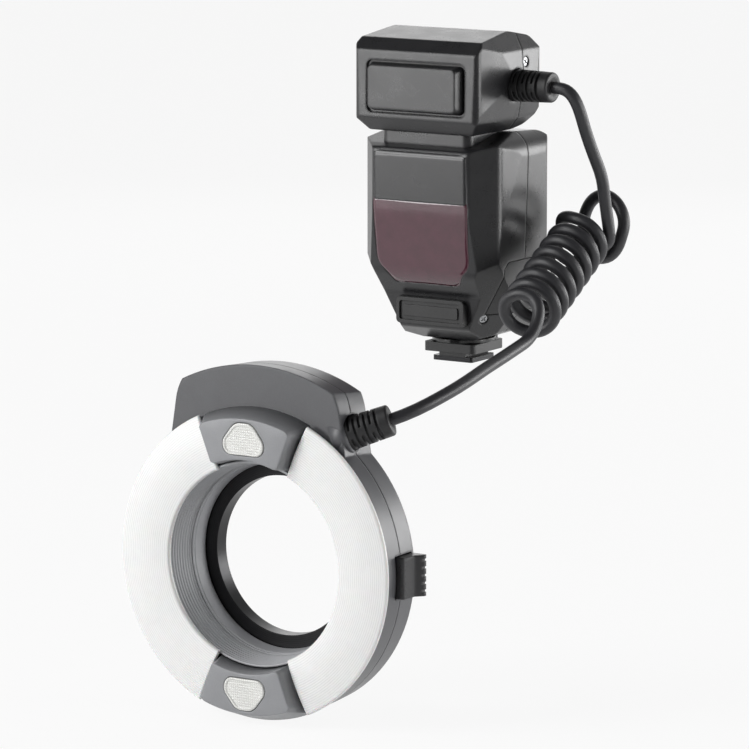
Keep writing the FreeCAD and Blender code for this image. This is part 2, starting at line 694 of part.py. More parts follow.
# What the body holds
def make_inside():
    """Cells, their holder and contacts, boards, transformer and assist lamp."""
    room = body_form(wall + fit_gap)
    left = -cell_length / 2
    cells = []
    holder = box(7.4 - body_half_width, body_half_width - 5.5, cell_centre_y - cell_pitch + 0.2,
                 cell_centre_y + cell_pitch - 0.2, cell_centre_z - cell_pitch + 0.2,
                 cell_centre_z + cell_pitch - 0.2)
    holder = holder.common(room)
    plates = []
    for iy in (-1, 1):
        for iz in (-1, 1):
            y = cell_centre_y + iy * cell_pitch / 2
            z = cell_centre_z + iz * cell_pitch / 2
            can = rod(V(left, y, z), RIGHT, cell_radius, cell_length - 1.0)
            nub = rod(V(-left - 1.0, y, z), RIGHT, 2.7, 1.0)
            cells.append(can.fuse(nub))
            holder = holder.cut(rod(V(-far, y, z), RIGHT, cell_radius + cell_play, far - left + fit_gap))
            plates.append(rod(V(-left + fit_gap * 0.2, y, z), RIGHT, 4.5, fit_gap * 0.7))
    save("battery_cells", Part.makeCompound(cells))
    save("battery_holder", holder)
    save("cell_contacts", Part.makeCompound(plates))

    board_z = cell_centre_z + cell_pitch + 1.0
    board_half = body_half_width - 6.9
    board = box(-board_half, board_half, body_front_y + 7.6, body_rear_y - 7.5,
                board_z, board_z + board_thickness)
    posts = []
    for x in (-23.5, 23.5):
        for y in (-15.0, 5.0):
            posts.append(rod(V(x, y, cell_centre_z + cell_pitch - 0.2), UP, 1.5, 1.2))
    board_seat = board_z + board_thickness
    core = box(-17, 1, -18, -4, board_seat, board_seat + 13)
    coil = box(-14.5, -1.5, -20, -2, board_seat + 2.5, board_seat + 10.5)
    bits = [box(6, 14, -20, -12, board_seat, board_seat + 1.6),
            box(16, 22, -6, 2, board_seat, board_seat + 1.2),
            rod(V(10, -3, board_seat), UP, 4.0, 11.0),
            rod(V(20, -18, board_seat), UP, 3.0, 8.0)]
    main_board = board.fuse([p.cut(holder) for p in posts] + [core, coil] + bits)

    pane = made["red_window"].common(box(-8, 8, -far, 0, lamp_z - 3.0, lamp_z + 3.0))
    lamp_y = pane.BoundBox.YMax + fit_gap
    holder_front = cell_centre_y - cell_pitch + 0.2
    lamp_board_y = holder_front - 0.2 - lamp_board_thickness
    lamp_board = box(-9, 9, lamp_board_y, lamp_board_y + lamp_board_thickness, lamp_z - 12, lamp_z + 8)
    stalks = []
    for x in (-4.5, 4.5):
        base = V(x, lamp_y + lamp_radius, lamp_z)
        stalk = rod(base, BACK, lamp_radius, lamp_board_y - base.y)
        stalks.append(stalk.fuse(Part.makeSphere(lamp_radius, base)))
    arm = box(-6, 6, lamp_board_y + lamp_board_thickness, holder_front, lamp_z - 8, lamp_z - 2)
    save("main_board", Part.makeCompound([main_board, lamp_board.fuse(stalks + [arm])]))


def make_head():
    """Head box: two shells, raised front panel, capacitor, driver board and screws."""
    outer = head_form(0)
    inner = head_form(wall)
    hollow = outer.cut(inner)
    hollow = hollow.cut(box(-11, 11, -24, -9, head_bottom_z - 2.0, head_bottom_z + 4.0))
    groove = prism("y", head_front_y - 1, head_front_y + 1.2,
                   framed(frame_half_width, frame_bottom_z, frame_top_z, 2.5))
    hollow = hollow.cut(groove)
    front_face = head_front_y + 1.2
    base = outline("y", front_face, framed(frame_half_width - 0.8, frame_bottom_z + 0.8,
                                           frame_top_z - 0.8, 2.2))
    crown = outline("y", head_front_y - panel_raise, framed(
        front_panel_half_width, front_panel_bottom_z, front_panel_top_z, 1.8))
    panel = Part.makeLoft([base, crown], True, True)
    lead_hole = rod(upper_relief_base - RIGHT * 8, RIGHT, relief_radius - 1.5, 16)
    relief_seat = rod(upper_relief_base - RIGHT * 1.5, RIGHT, relief_radius + 0.4, 12)
    screw_spot = V(head_half_width - 1.8, head_seam_y + 2.6, head_top_z - 12.7)
    hollow = hollow.cut(lead_hole.fuse(relief_seat))
    boss_length = screw_length + 1.0
    bosses = [rod(V(s * (screw_spot.x - boss_length), screw_spot.y, screw_spot.z), V(s, 0, 0),
                  screw_boss_radius, boss_length) for s in (-1, 1)]
    rooms = [screw_room(V(s * screw_spot.x, screw_spot.y, screw_spot.z), V(s, 0, 0), screw_length)
             for s in (-1, 1)]
    hollow = hollow.cut(rooms[0]).cut(rooms[1])
    split = box(-far, far, -far, head_seam_y - seam_gap / 2, 0, 3 * far)
    behind = box(-far, far, head_seam_y + seam_gap / 2, far, 0, 3 * far)
    front = hollow.common(split)
    rear = hollow.common(behind)
    boss_parts = [b.cut(split).common(outer) for b in bosses]
    front = front.cut(Part.makeCompound(bosses))
    rear = rear.fuse(boss_parts).cut(rooms[0]).cut(rooms[1])
    save("head_front_shell", front.cut(panel))
    save("head_rear_shell", rear)
    save("head_front_panel", panel)
    for s in (-1, 1):
        screws.append(make_screw(V(s * screw_spot.x, screw_spot.y, screw_spot.z), V(s, 0, 0), screw_length))

    cap_y = capacitor_y
    cap_z = (head_top_z + head_bottom_z) / 2 + 0.6
    half = capacitor_length / 2
    can = rod(V(-half - 2, cap_y, cap_z), RIGHT, capacitor_radius, capacitor_length)
    crimp = Part.makeTorus(capacitor_radius, 0.6, V(half - 8, cap_y, cap_z), RIGHT)
    save("flash_capacitor", can.cut(crimp))
    saddle = box(2 - half, half - 8, cap_y - 9, cap_y + 9, head_bottom_z + wall + 0.05, cap_z - 3)
    saddle = saddle.cut(rod(V(-far, cap_y, cap_z), RIGHT, capacitor_radius + 0.2, 2 * far))
    saddle = saddle.cut(box(-11.5, 11.5, -24.5, -8.5, 0, cap_z))
    save("capacitor_saddle", saddle)
    driver_half = head_half_width - 7.2
    driver_rear = driver_board_y + board_thickness + 0.2
    driver = box(-driver_half, driver_half, driver_board_y, driver_rear,
                 head_bottom_z + 5.2, head_top_z - 9.2)
    choke = rod(V(-12, driver_rear, cap_z - 4.6), BACK, 4.0, 5.0)
    chip = box(4, 14, driver_rear, driver_rear + 1.6, cap_z - 9.6, cap_z + 0.4)
    save("driver_board", driver.fuse([choke, chip]))


# Ring head
def hood_solid(front_depth, rear_depth, inset):
    """Hood block over the top of the ring, from one depth to another."""
    foot = ring_point(ring_outer_radius - 3.0, hood_half_angle, 0)
    low = ring_point(30.0, hood_half_angle, 0)
    corners = [
        (-low.x, low.z, 0), (low.x, low.z, 0), (foot.x + 0.9, foot.z, 0),
        (hood_corner_x, lens_axis_z + ring_outer_radius + 6.5, hood_shoulder_round),
        (hood_corner_x - 9.5, lens_axis_z + hood_radius + 0.1, hood_crown_round),
        (0.0, lens_axis_z + hood_radius + 12.6, 0),
        (9.5 - hood_corner_x, lens_axis_z + hood_radius + 0.1, hood_crown_round),
        (-hood_corner_x, lens_axis_z + ring_outer_radius + 6.5, hood_shoulder_round),
        (-foot.x - 0.9, foot.z, 0)]
    block = prism("y", ring_front_y + front_depth, ring_front_y + rear_depth, corners, inset)
    cap = revolved([(0, front_depth - 1), (hood_radius - inset, front_depth - 1),
                    (hood_radius - inset, hood_face_depth),
                    (hood_rear_radius - inset, ring_depth), (hood_rear_radius - inset, rear_depth + 1),
                    (0, rear_depth + 1)])
    return block.common(cap)


def lens_outline(grow):
    """Rounded trapezoid of a lamp lens, wide side towards the bore, for the upper lamp."""
    return both_sides([
        (lens_narrow_half + grow, lens_axis_z + lens_outer_r + grow, lens_height * 0.2),
        (lens_wide_half + grow, lens_axis_z + lens_wide_r, lens_height * 0.275),
        (lens_wide_half - 1.8 + grow, lens_axis_z + lens_inner_r - grow, lens_height * 0.236),
    ])


def sector_wire(inner, outer, half_angle, depth):
    """Sector of the ring at one depth: two arcs and two radial sides."""
    a = ring_point(inner, -half_angle, depth)
    b = ring_point(inner, half_angle, depth)
    c = ring_point(outer, half_angle, depth)
    d = ring_point(outer, -half_angle, depth)
    return Part.Wire([
        Part.Arc(a, ring_point(inner, 0, depth), b).toShape(), Part.LineSegment(b, c).toShape(),
        Part.Arc(c, ring_point(outer, 0, depth), d).toShape(), Part.LineSegment(d, a).toShape()])


def make_lamp(name, turned):
    """Lamp block, its fluted lens and its light source, for the top or turned to the bottom."""
    base_depth = hood_face_depth
    inner = block_inner_radius
    outer = block_outer_radius
    block = Part.makeLoft([
        sector_wire(ring_inner_radius + 1.6, ring_outer_radius - 0.2, diffuser_half_gap_deg - 0.4,
                    base_depth),
        sector_wire(inner, outer, block_half_angle, block_front_depth)], True, True)
    solid = block.copy()
    hollow = Part.makeLoft([
        sector_wire(ring_inner_radius + 1.6 + wall, ring_outer_radius - 0.2 - wall,
                    diffuser_half_gap_deg - 2.4, base_depth + 0.01),
        sector_wire(inner + 1.2, outer - 1.2, block_half_angle - 1.4, block_front_depth + wall)], True, True)
    face_y = ring_front_y + block_front_depth
    aperture = prism("y", face_y - 1, face_y + wall + 1, lens_outline(0))
    block = block.cut(hollow).cut(aperture)
    lens = prism("y", face_y - 0.4, face_y + lens_thickness - 0.4, lens_outline(-fit_gap / 2))
    flange = prism("y", face_y + wall + 0.05, face_y + wall + 0.85, lens_outline(0.8))
    flange = flange.common(hollow)
    lens = lens.fuse(prism("y", face_y, face_y + wall + 0.5, lens_outline(-fit_gap / 2))).fuse(flange)
    lamp_r = (lens_inner_r + lens_outer_r) / 2
    seat = ring_point(lamp_r, 0, base_depth)
    lamp = Part.makeBox(12, board_thickness, lamp_board_height,
                        seat - V(6, board_thickness, lamp_board_height / 2))
    emitter = Part.makeBox(5, 1.0, 5, seat - V(2.5, board_thickness + 1.0, 2.5))
    lamp = lamp.fuse(emitter)
    if turned:
        for shape in (block, lens, lamp, solid):
            shape.rotate(V(0, 0, lens_axis_z), BACK, 180)
    save(name + "_lamp_block", block)
    save(name + "_lamp_lens", lens)
    return lamp, solid


def make_ring():
    """Front and rear shells, diffusers, reflectors, tubes, lamps, bore sleeve and board."""
    base = hood_face_depth
    board_front = reflector_depth + 0.5
    edge = ring_edge_radius
    outer_solid = revolved([(30, 1.6), (edge, 1.6), (ring_seam_radius, ring_seam_depth),
                            (ring_rear_radius, ring_depth),
                            (30, ring_depth)])
    step_depth = ring_depth - 10.0
    bore_space = revolved([(0, -10), (ring_inner_radius + 1.7, -10), (ring_inner_radius + 1.7, step_depth),
                           (adapter_flange_radius + 0.6, step_depth), (adapter_flange_radius + 0.6, 40),
                           (0, 40)])
    hood = hood_solid(hood_face_depth, ring_depth, 0)
    whole = outer_solid.fuse(hood).cut(bore_space)
    inner_solid = revolved([(30, -3), (edge - ring_wall, -3),
                            (ring_seam_radius - ring_wall, ring_seam_depth),
                            (ring_rear_radius - ring_wall, ring_depth - ring_wall),
                            (30, ring_depth - ring_wall)])
    hood_inside = hood_solid(hood_face_depth + ring_wall, ring_depth - ring_wall, ring_wall)
    room = inner_solid.fuse(hood_inside)
    shell = whole.cut(room)
    hood_face = hood.common(revolved([(0, 0), (90, 0), (90, base + ring_wall), (0, base + ring_wall)]))
    hood_face = hood_face.cut(revolved([(0, -5), (edge - 0.01, -5), (edge - 0.01, 40), (0, 40)]))
    deck_arc = diffuser_half_gap_deg + 1.0
    shell = shell.fuse(hood_face)
    decks = []
    for middle in (0, 180):
        deck = revolved([(ring_inner_radius + 2.0, base), (edge - 0.1, base), (edge - 0.1, base + ring_wall),
                         (ring_inner_radius + 2.0, base + ring_wall)], middle - deck_arc, 2 * deck_arc)
        decks.append(deck)
    shell = shell.fuse(decks)
    release_space = []
    for side in (-1, 1):
        release_space.append(box(side * (ring_outer_radius - 11.5), side * (ring_outer_radius + 8.5),
                                 ring_front_y + 7.7, ring_front_y + ring_depth - ring_wall + 0.3,
                                 lens_axis_z - release_half_height - fit_gap,
                                 lens_axis_z + release_half_height + fit_gap))
    relief_axis = V(lower_relief_direction)
    relief_axis.normalize()
    relief_seat = rod(lower_relief_base - relief_axis * 6, relief_axis, relief_radius + 0.4, 25)
    shell = shell.cut(release_space[0]).cut(release_space[1]).cut(relief_seat)
    front = shell.common(revolved([(0, -20), (120, -20), (120, ring_seam_depth - seam_gap / 2),
                                   (0, ring_seam_depth - seam_gap / 2)]))
    rear = shell.common(revolved([(0, ring_seam_depth + seam_gap / 2), (120, ring_seam_depth + seam_gap / 2),
                                  (120, 60), (0, 60)]))
    lamps = [make_lamp("upper", False), make_lamp("lower", True)]
    for lamp, solid in lamps:
        front = front.cut(solid)
    for angle in ring_screw_angles:
        seat = ring_point(ring_screw_radius, angle, ring_depth - screw_head_height - 0.2)
        boss = rod(ring_point(ring_screw_radius, angle, board_front + board_thickness + 0.05), BACK,
                   screw_boss_radius, ring_depth - board_front - board_thickness - 1.0)
        rear = rear.fuse(boss).cut(screw_room(seat, BACK, screw_length))
        screws.append(make_screw(seat, BACK, screw_length))
    save("ring_front_shell", front)
    save("ring_rear_shell", rear)

    sweep = 180 - 2 * diffuser_half_gap_deg
    reflectors = []
    tubes = []
    for name, start in (("right", diffuser_half_gap_deg), ("left", 180 + diffuser_half_gap_deg)):
        out, inn, t = ring_outer_radius, ring_inner_radius, diffuser_wall
        mid = ring_mid_radius
        profile = [(inn, 0.4), (inn + 1.0, -0.3), (mid, -diffuser_crown), (out - 3.0, -0.4),
                   (out - 0.8, 0.2), (out, 1.0), (out - 0.3, 1.4), (out - t - 0.6, 1.4),
                   (mid, t - diffuser_crown), (inn + t + 0.3, t), (inn, t)]
        save(name + "_diffuser", revolved(profile, start, sweep))
        low, high, w = ring_inner_radius + 2.0, edge - ring_wall - 0.4, reflector_wall
        trough = [(low, 2.0), (low + 2.5, reflector_depth), (high - 2.5, reflector_depth), (high, 2.4),
                  (high - w, 2.4), (high - 2.5 - w, reflector_depth - w),
                  (low + 2.5 + w, reflector_depth - w), (low + w, 2.0)]
        reflector = revolved(trough, start + 1.5, sweep - 3.0)
        end_wall = [(low, 2.0), (low + 2.5, reflector_depth), (high - 2.5, reflector_depth), (high, 2.4)]
        bore = Part.makeTorus(tube_ring_radius, tube_radius + running_gap,
                              ring_point(0, 0, tube_depth), BACK)
        walls = [revolved(end_wall, at, 1.6).cut(bore) for at in (start + 3.2, start + sweep - 4.8)]
        reflectors.append(reflector.fuse(walls))
        tube_start = ring_point(tube_ring_radius, start + 4, tube_depth)
        turn = math.radians(start + 4)
        along = V(math.cos(turn), 0, -math.sin(turn))
        circle = Part.Wire([Part.Circle(tube_start, along, tube_radius).toShape()])
        tubes.append(Part.Face(circle).revolve(V(0, 0, lens_axis_z), BACK, sweep - 8))
    save("reflectors", Part.makeCompound(reflectors))
    save("flash_tubes", Part.makeCompound(tubes))

    steps = []
    sleeve_front = diffuser_wall + 0.1
    for i in range(bore_steps + 1):
        share = i / bore_steps
        radius = ring_inner_radius + 0.2 + (bore_rear_radius - ring_inner_radius - 0.2) * share
        depth = sleeve_front + (ring_depth - 0.2 - sleeve_front) * share
        steps.append((radius, depth))
        if i < bore_steps:
            steps.append((radius - 0.05, depth + 0.9 * (ring_depth - 0.2 - sleeve_front) / bore_steps))
    outside = [(bore_rear_radius + bore_wall, ring_depth - 0.2),
               (bore_rear_radius + bore_wall, ring_depth - 9.5),
               (ring_inner_radius + 1.5, ring_depth - 10.5), (ring_inner_radius + 1.5, sleeve_front)]
    save("bore_sleeve", revolved(steps + outside))

    board_depth = board_front
    plate = revolved([(ring_inner_radius + 3.5, board_depth), (edge - ring_wall - 1.0, board_depth),
                      (edge - ring_wall - 1.0, board_depth + board_thickness),
                      (ring_inner_radius + 3.5, board_depth + board_thickness)], 30, 300)
    bits = []
    for angle in (68, 112, 248, 292):
        spot = ring_point(ring_mid_radius + 0.75, angle, board_depth + board_thickness)
        bits.append(rod(spot, BACK, 2.6, 2.6))
    board = plate.fuse(bits)
    for side in (-1, 1):
        board = board.cut(box(side * (ring_outer_radius - ring_width * 0.55), side * ring_outer_radius,
                              ring_front_y, ring_front_y + ring_depth,
                              lens_axis_z - release_half_height - 1.5,
                              lens_axis_z + release_half_height + 1.5))
    save("ring_board", Part.makeCompound([board] + [lamp for lamp, solid in lamps]))


def make_catches():
    """Adapter ring with its front flange, and the two crossed release catches with their yokes."""
    flange_front = ring_depth - 8.0
    flange_rear = flange_front + adapter_lip
    web_front = ring_depth + 0.4
    web_rear = web_front + adapter_web
    sleeve_side = bore_rear_radius + bore_wall + 0.5
    adapter = revolved([
        (sleeve_side, flange_rear), (adapter_body_radius, flange_rear), (adapter_body_radius, web_rear),
        (adapter_thread_radius, web_rear), (adapter_thread_radius, web_rear + adapter_thread_length),
        (adapter_inner_radius, web_rear + adapter_thread_length), (adapter_inner_radius, web_front),
        (sleeve_side, web_front)])
    flange = revolved([
        (sleeve_side, flange_front), (adapter_flange_radius - adapter_chamfer, flange_front),
        (adapter_flange_radius, flange_front + adapter_chamfer), (adapter_flange_radius, flange_rear),
        (sleeve_side, flange_rear)])
    save("adapter_ring", adapter)
    save("adapter_flange", flange)
    yoke_inner = adapter_body_radius + release_travel + yoke_play
    yoke_outer = yoke_inner + yoke_width
    first = flange_rear + 0.5
    layers = {1: first, -1: first + yoke_thickness + yoke_layer_gap}
    for side, name in ((1, "right"), (-1, "left")):
        depth = layers[side]
        yoke = revolved([(yoke_inner, depth), (yoke_outer, depth), (yoke_outer, depth + yoke_thickness),
                         (yoke_inner, depth + yoke_thickness)])
        y0 = ring_front_y + depth
        hook_tip = adapter_body_radius + fit_gap
        hook = box(-side * hook_tip, -side * (yoke_inner + 1), y0, y0 + yoke_thickness,
                   lens_axis_z - hook_half_height, lens_axis_z + hook_half_height)
        hook = hook.cut(revolved([(0, 0), (hook_tip, 0), (hook_tip, 40), (0, 40)]))
        stem = box(side * (yoke_outer - 1.5), side * release_inner_x, y0, y0 + yoke_thickness,
                   lens_axis_z - 5, lens_axis_z + 5)
        pad_profile = [(release_inner_x, ring_front_y + 8.0, 0),
                       (release_inner_x + 3.4, ring_front_y + 8.4, 0.8),
                       (release_inner_x + 3.9, ring_front_y + 15.5, 0),
                       (release_outer_x, ring_front_y + 18.4, 0.8),
                       (release_outer_x, ring_front_y + 20.0, 0.4),
                       (release_inner_x, ring_front_y + 20.0, 0)]
        pad = prism("z", lens_axis_z - release_half_height, lens_axis_z + release_half_height,
                    [(u * side, v, radius) for u, v, radius in pad_profile])
        for i in range(5):
            z = lens_axis_z + (i - 2) * 3.0
            pad = pad.cut(box(side * release_outer_x - 0.7, side * release_outer_x + 0.7,
                              ring_front_y + 16.5, ring_front_y + 21, z - 0.5, z + 0.5))
        save(name + "_yoke", yoke.fuse([hook, stem]))
        save(name + "_release", pad)


# Strain reliefs
def make_relief(name, base, direction, length):
    """Ringed strain relief: neck, rings and end cap, bored for the cord."""
    axis = V(direction)
    axis.normalize()
    core = rod(base - axis * 1.2, axis, relief_radius - 1.6, length - 3.8 + 1.2)
    rings_length = length - 4.2
    pitch = rings_length / relief_rings
    pieces = [core]
    for i in range(relief_rings):
        pieces.append(rod(base + axis * (pitch * i), axis, relief_radius - 0.05 * i, pitch * 0.62))
    cap = rod(base + axis * (length - 4.0), axis, relief_cap_radius, 4.0)
    pieces.append(cap)
    relief = pieces[0].fuse(pieces[1:])
    ways = []
    side = axis.cross(UP)
    side.normalize()
    for s in (-1, 1):
        bar = Part.makeBox(2.2, 3.0, rings_length, V(-1.1, -1.5, 0))
        place = base + side * (s * (relief_radius - 1.5))
        bar.Placement = FreeCAD.Placement(place, FreeCAD.Rotation(UP, axis))
        ways.append(bar.common(rod(base, axis, relief_radius - 0.3, rings_length)))
    relief = relief.fuse(ways)
    save(name, relief)
    return base + axis * length, axis


# Cord
# Loose turn before the tight ones: turn, way along the axis, radius, share of the tight
# direction, shift along X and lift.
coil_pitch = (coil_front - coil_rear).Length / coil_turns
loose_keys = [
    (-1.5, -4.0, 10.0, 0.2, 0.3, 2.0), (-1.25, -8.5, 7.6, 0.0, -0.5, 3.5),
    (-1.0, -12.0, 9.6, 0.0, -2.0, 4.5), (-0.75, -14.5, 11.0, 0.0, -2.5, 5.0),
    (-0.5, -14.5, 11.2, 0.1, -2.0, 5.0), (-0.25, -8.5, 13.8, 0.4, -1.0, 3.5),
    (0.0, -2.5, 11.4, 0.8, -0.3, 1.0), (0.25, 0.25 * coil_pitch, coil_radius, 1.0, 0.0, 0.0)]


def unit(vector):
    """Copy of a vector with length 1."""
    copy = V(vector)
    copy.normalize()
    return copy


def coil_keys(turn):
    """Way along, radius, share, shift and lift at a turn, eased between the loose keys."""
    last = loose_keys[-1]
    if turn >= last[0]:
        return turn * coil_pitch, coil_radius, 1.0, 0.0, 0.0
    for a, b in zip(loose_keys, loose_keys[1:]):
        if turn <= b[0]:
            share = max((turn - a[0]) / (b[0] - a[0]), 0.0)
            eased = (1 - math.cos(math.pi * share)) / 2
            values = [a[i] + (b[i] - a[i]) * eased for i in range(2, 6)]
            return [a[1] + (b[1] - a[1]) * share] + values


def coil_point(turn):
    """Point of the curly cord's centre line at a turn, counted clockwise seen from the front."""
    tight = unit(coil_front - coil_rear)
    loose = unit(loose_direction)
    along, radius, share, shift, lift = coil_keys(turn)
    facing = loose * (1 - share) + tight * share
    lean = max(0.0, (turn - 5.0) / 2.4) * 0.6
    facing = unit(facing * (1 - lean) + unit(end_direction) * lean)
    right = unit(UP.cross(facing))
    top = facing.cross(right)
    if top.z < 0:
        top = top * -1
    centre = coil_rear + tight * max(along, 0) + loose * min(along, 0) + V(shift, 0, lift)
    angle = 2 * math.pi * turn
    return centre - right * (radius * math.cos(angle)) + top * (radius * math.sin(angle))


def coil_tangent(turn):
    """Direction of the centre line at a turn, from two points close beside it."""
    step = 0.002
    return unit(coil_point(turn + step) - coil_point(turn - step))


def exit_bend(share):
    """Point of the bend that leads the last turn out to the straight tail."""
    start = coil_point(coil_last_turn)
    leave = coil_tangent(coil_last_turn) * coil_exit_pull
    arrive = unit(coil_exit_direction) * coil_exit_pull
    u = share
    return (start * (2 * u ** 3 - 3 * u ** 2 + 1) + leave * (u ** 3 - 2 * u ** 2 + u)
            + coil_exit * (3 * u ** 2 - 2 * u ** 3) + arrive * (u ** 3 - u ** 2))


def coil_stations():
    """Points and directions a quarter turn apart along the coil, then along the exit bend."""
    stations = []
    quarters = int(round((coil_last_turn - coil_first_turn) * 4))
    for i in range(quarters + 1):
        turn = coil_first_turn + i / 4
        stations.append((coil_point(turn), coil_tangent(turn)))
    bends = 3
    for i in range(1, bends):
        share = i / bends
        ahead = exit_bend(share + 0.005)
        behind = exit_bend(share - 0.005)
        stations.append((exit_bend(share), unit(ahead - behind)))
    stations.append((V(coil_exit), unit(coil_exit_direction)))
    return stations


def biarc(p0, t0, p1, t1):
    """Two arcs that join two points with given directions, meeting smoothly."""
    v = p1 - p0
    t = t0 + t1
    a = 2 * (1 - t0.dot(t1))
    b = 2 * v.dot(t)
    c = -v.dot(v)
    d = -c / b if abs(a) < 1e-9 else (-b + math.sqrt(b * b - 4 * a * c)) / (2 * a)
    q0 = p0 + t0 * d
    q1 = p1 - t1 * d
    joint = (q0 + q1) * 0.5
    middle = unit(q1 - q0)
    edges = []
    for start, way, end, leave in ((p0, t0, joint, middle), (joint, middle, p1, t1)):
        chord = end - start
        turn = way.getAngle(leave)
        if turn < 1e-4:
            edges.append(Part.LineSegment(start, end).toShape())
            continue
        corner = start + way * (chord.Length / 2 / math.cos(turn / 2))
        out = unit((start + end) * 0.5 - corner)
        radius = chord.Length / 2 / math.sin(turn / 2)
        gap = radius / math.cos(turn / 2) - radius
        edges.append(Part.Arc(start, corner + out * gap, end).toShape())
    return edges


def tube_along(edges, start, direction):
    """Round tube of the cord's diameter swept along joined edges."""
    circle = Part.Wire([Part.Circle(start, direction, cord_diameter / 2).toShape()])
    return Part.Wire(edges).makePipeShell([circle], True, False)


def make_coil():
    """Curly part of the cord as one unbroken tube with a short straight end each side."""
    stations = coil_stations()
    first, way_in = stations[0]
    last, way_out = stations[-1]
    begin = first - way_in * cord_diameter
    finish = last + way_out * cord_diameter
    edges = [Part.LineSegment(begin, first).toShape()]
    for a, b in zip(stations, stations[1:]):
        edges += biarc(a[0], a[1], b[0], b[1])
    edges.append(Part.LineSegment(last, finish).toShape())
    length = sum(e.Length for e in edges)
    least = min(e.Curve.Radius for e in edges if hasattr(e.Curve, "Radius"))
    points = []
    travelled = []
    gone = 0.0
    for edge in edges:
        count = max(2, int(edge.Length / 0.8))
        for point in edge.discretize(count)[:-1]:
            points.append(point)
            travelled.append(gone + (point - edge.Vertexes[0].Point).Length)
        gone += edge.Length
    apart = min((p - q).Length for i, p in enumerate(points) for j, q in enumerate(points)
                if travelled[j] - travelled[i] > 3 * cord_diameter)
    tube = tube_along(edges, begin, way_in)
    volume = math.pi * cord_diameter ** 2 / 4 * length
    print("coil: length %.1f, least radius %.1f, gap to itself %.2f, volume %.3f of section x length"
          % (length, least, apart - cord_diameter, tube.Volume / volume))
    save("cord_coil", tube)
    return begin, way_in, finish, way_out


def make_run(name, points):
    """Free stretch of the cord: straight runs joined by arcs as large as the runs allow."""
    edges = []
    radii = []
    here = points[0]
    for i in range(1, len(points) - 1):
        before = points[i] - points[i - 1]
        after = points[i + 1] - points[i]
        turn = before.getAngle(after)
        reach = 0.45 * min(before.Length, after.Length)
        radius = reach / math.tan(turn / 2)
        radii.append(round(radius, 1))
        a = points[i] - unit(before) * reach
        b = points[i] + unit(after) * reach
        out = unit((a + b) * 0.5 - points[i])
        middle = points[i] + out * (radius / math.cos(turn / 2) - radius)
        edges.append(Part.LineSegment(here, a).toShape())
        edges.append(Part.Arc(a, middle, b).toShape())
        here = b
    edges.append(Part.LineSegment(here, points[-1]).toShape())
    tube = tube_along(edges, points[0], unit(points[1] - points[0]))
    length = sum(e.Length for e in edges)
    volume = math.pi * cord_diameter ** 2 / 4 * length
    print("%s: length %.1f, volume %.3f of section x length, radii %s"
          % (name, length, tube.Volume / volume, radii))
    save(name, tube)


def make_cord():
    """Strain reliefs, coil and the two free stretches between them."""
    upper_end, upper_axis = make_relief("upper_strain_relief", upper_relief_base, RIGHT, upper_relief_length)
    lower_end, lower_axis = make_relief("lower_strain_relief", lower_relief_base, lower_relief_direction,
                                        lower_relief_length)
    begin, way_in, finish, way_out = make_coil()
    upper_points = [
        upper_end, upper_end + upper_axis * 4.0,
        upper_end + V(7.5, 0.3, -1.6), upper_end + V(9.7, 1.2, -5.0),
        upper_end + V(10.9, 3.0, -10.1), upper_end + V(11.5, 6.0, -17.6),
        coil_rear + V(9.0, -8.2, 34.8), coil_rear + V(10.5, -3.5, 25.3),
        begin - way_in * 11.0, begin]
    lower_points = [
        finish, finish + way_out * 15.0, V(63.2, -88.0, 13.2), V(64.0, -102.0, 10.5),
        V(63.6, -116.0, 7.6), lower_end + lower_axis * 8.0, lower_end]
    make_run("cord_upper_run", upper_points)
    make_run("cord_lower_run", lower_points)


make_foot()
front, rear = make_body()
save("body_front_shell", front)
save("body_rear_shell", make_rear_controls(rear))
make_inside()
make_head()
make_ring()
make_catches()
make_cord()
save("housing_screws", Part.makeCompound(screws))
print(len(made), "sub-parts")
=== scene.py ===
"""Looks of a macro ring flash: a shoe-mounted control unit, a curly cord and a ring-shaped flash head.

Lengths are in millimetres in the same frame as the construction: +X to the viewer's right, -Y to the
front, +Z up, origin under the shoe foot. Meshes are written in metres.
"""
from __future__ import annotations

import logging
import math
from dataclasses import dataclass, field
from enum import Enum
from typing import Sequence

import bmesh
import bpy
import numpy as np
from bpy.types import ID, Material, Mesh, Node, NodeSocket, NodeTree, Object
from mathutils import Matrix, Vector

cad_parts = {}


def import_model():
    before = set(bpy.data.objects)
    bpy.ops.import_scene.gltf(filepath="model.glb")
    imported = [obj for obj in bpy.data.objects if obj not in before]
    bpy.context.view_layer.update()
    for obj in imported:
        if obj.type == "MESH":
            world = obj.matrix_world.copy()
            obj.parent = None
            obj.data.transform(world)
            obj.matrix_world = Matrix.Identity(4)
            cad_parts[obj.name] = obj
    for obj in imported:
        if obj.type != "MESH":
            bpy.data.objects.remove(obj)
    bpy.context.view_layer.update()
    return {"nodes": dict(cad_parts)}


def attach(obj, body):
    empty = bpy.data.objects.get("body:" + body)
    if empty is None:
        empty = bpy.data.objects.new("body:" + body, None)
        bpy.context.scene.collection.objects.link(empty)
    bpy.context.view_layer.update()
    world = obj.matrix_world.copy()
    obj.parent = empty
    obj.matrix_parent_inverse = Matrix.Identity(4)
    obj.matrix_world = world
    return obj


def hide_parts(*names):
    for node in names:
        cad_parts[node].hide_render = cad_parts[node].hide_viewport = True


log = logging.getLogger("ring_flash")

MM = 0.001
HOUSING = "housing"
RING_FRONT_Y = -156.0
LENS_AXIS_Z = -59.4
# Seat and direction of the lower strain relief on the ring head's shell
GLAND_BASE = (37.526, -145.0, -6.203)
GLAND_AXIS = (0.86, 0.38, 0.34)
Array = np.ndarray
Point = tuple[float, float, float]


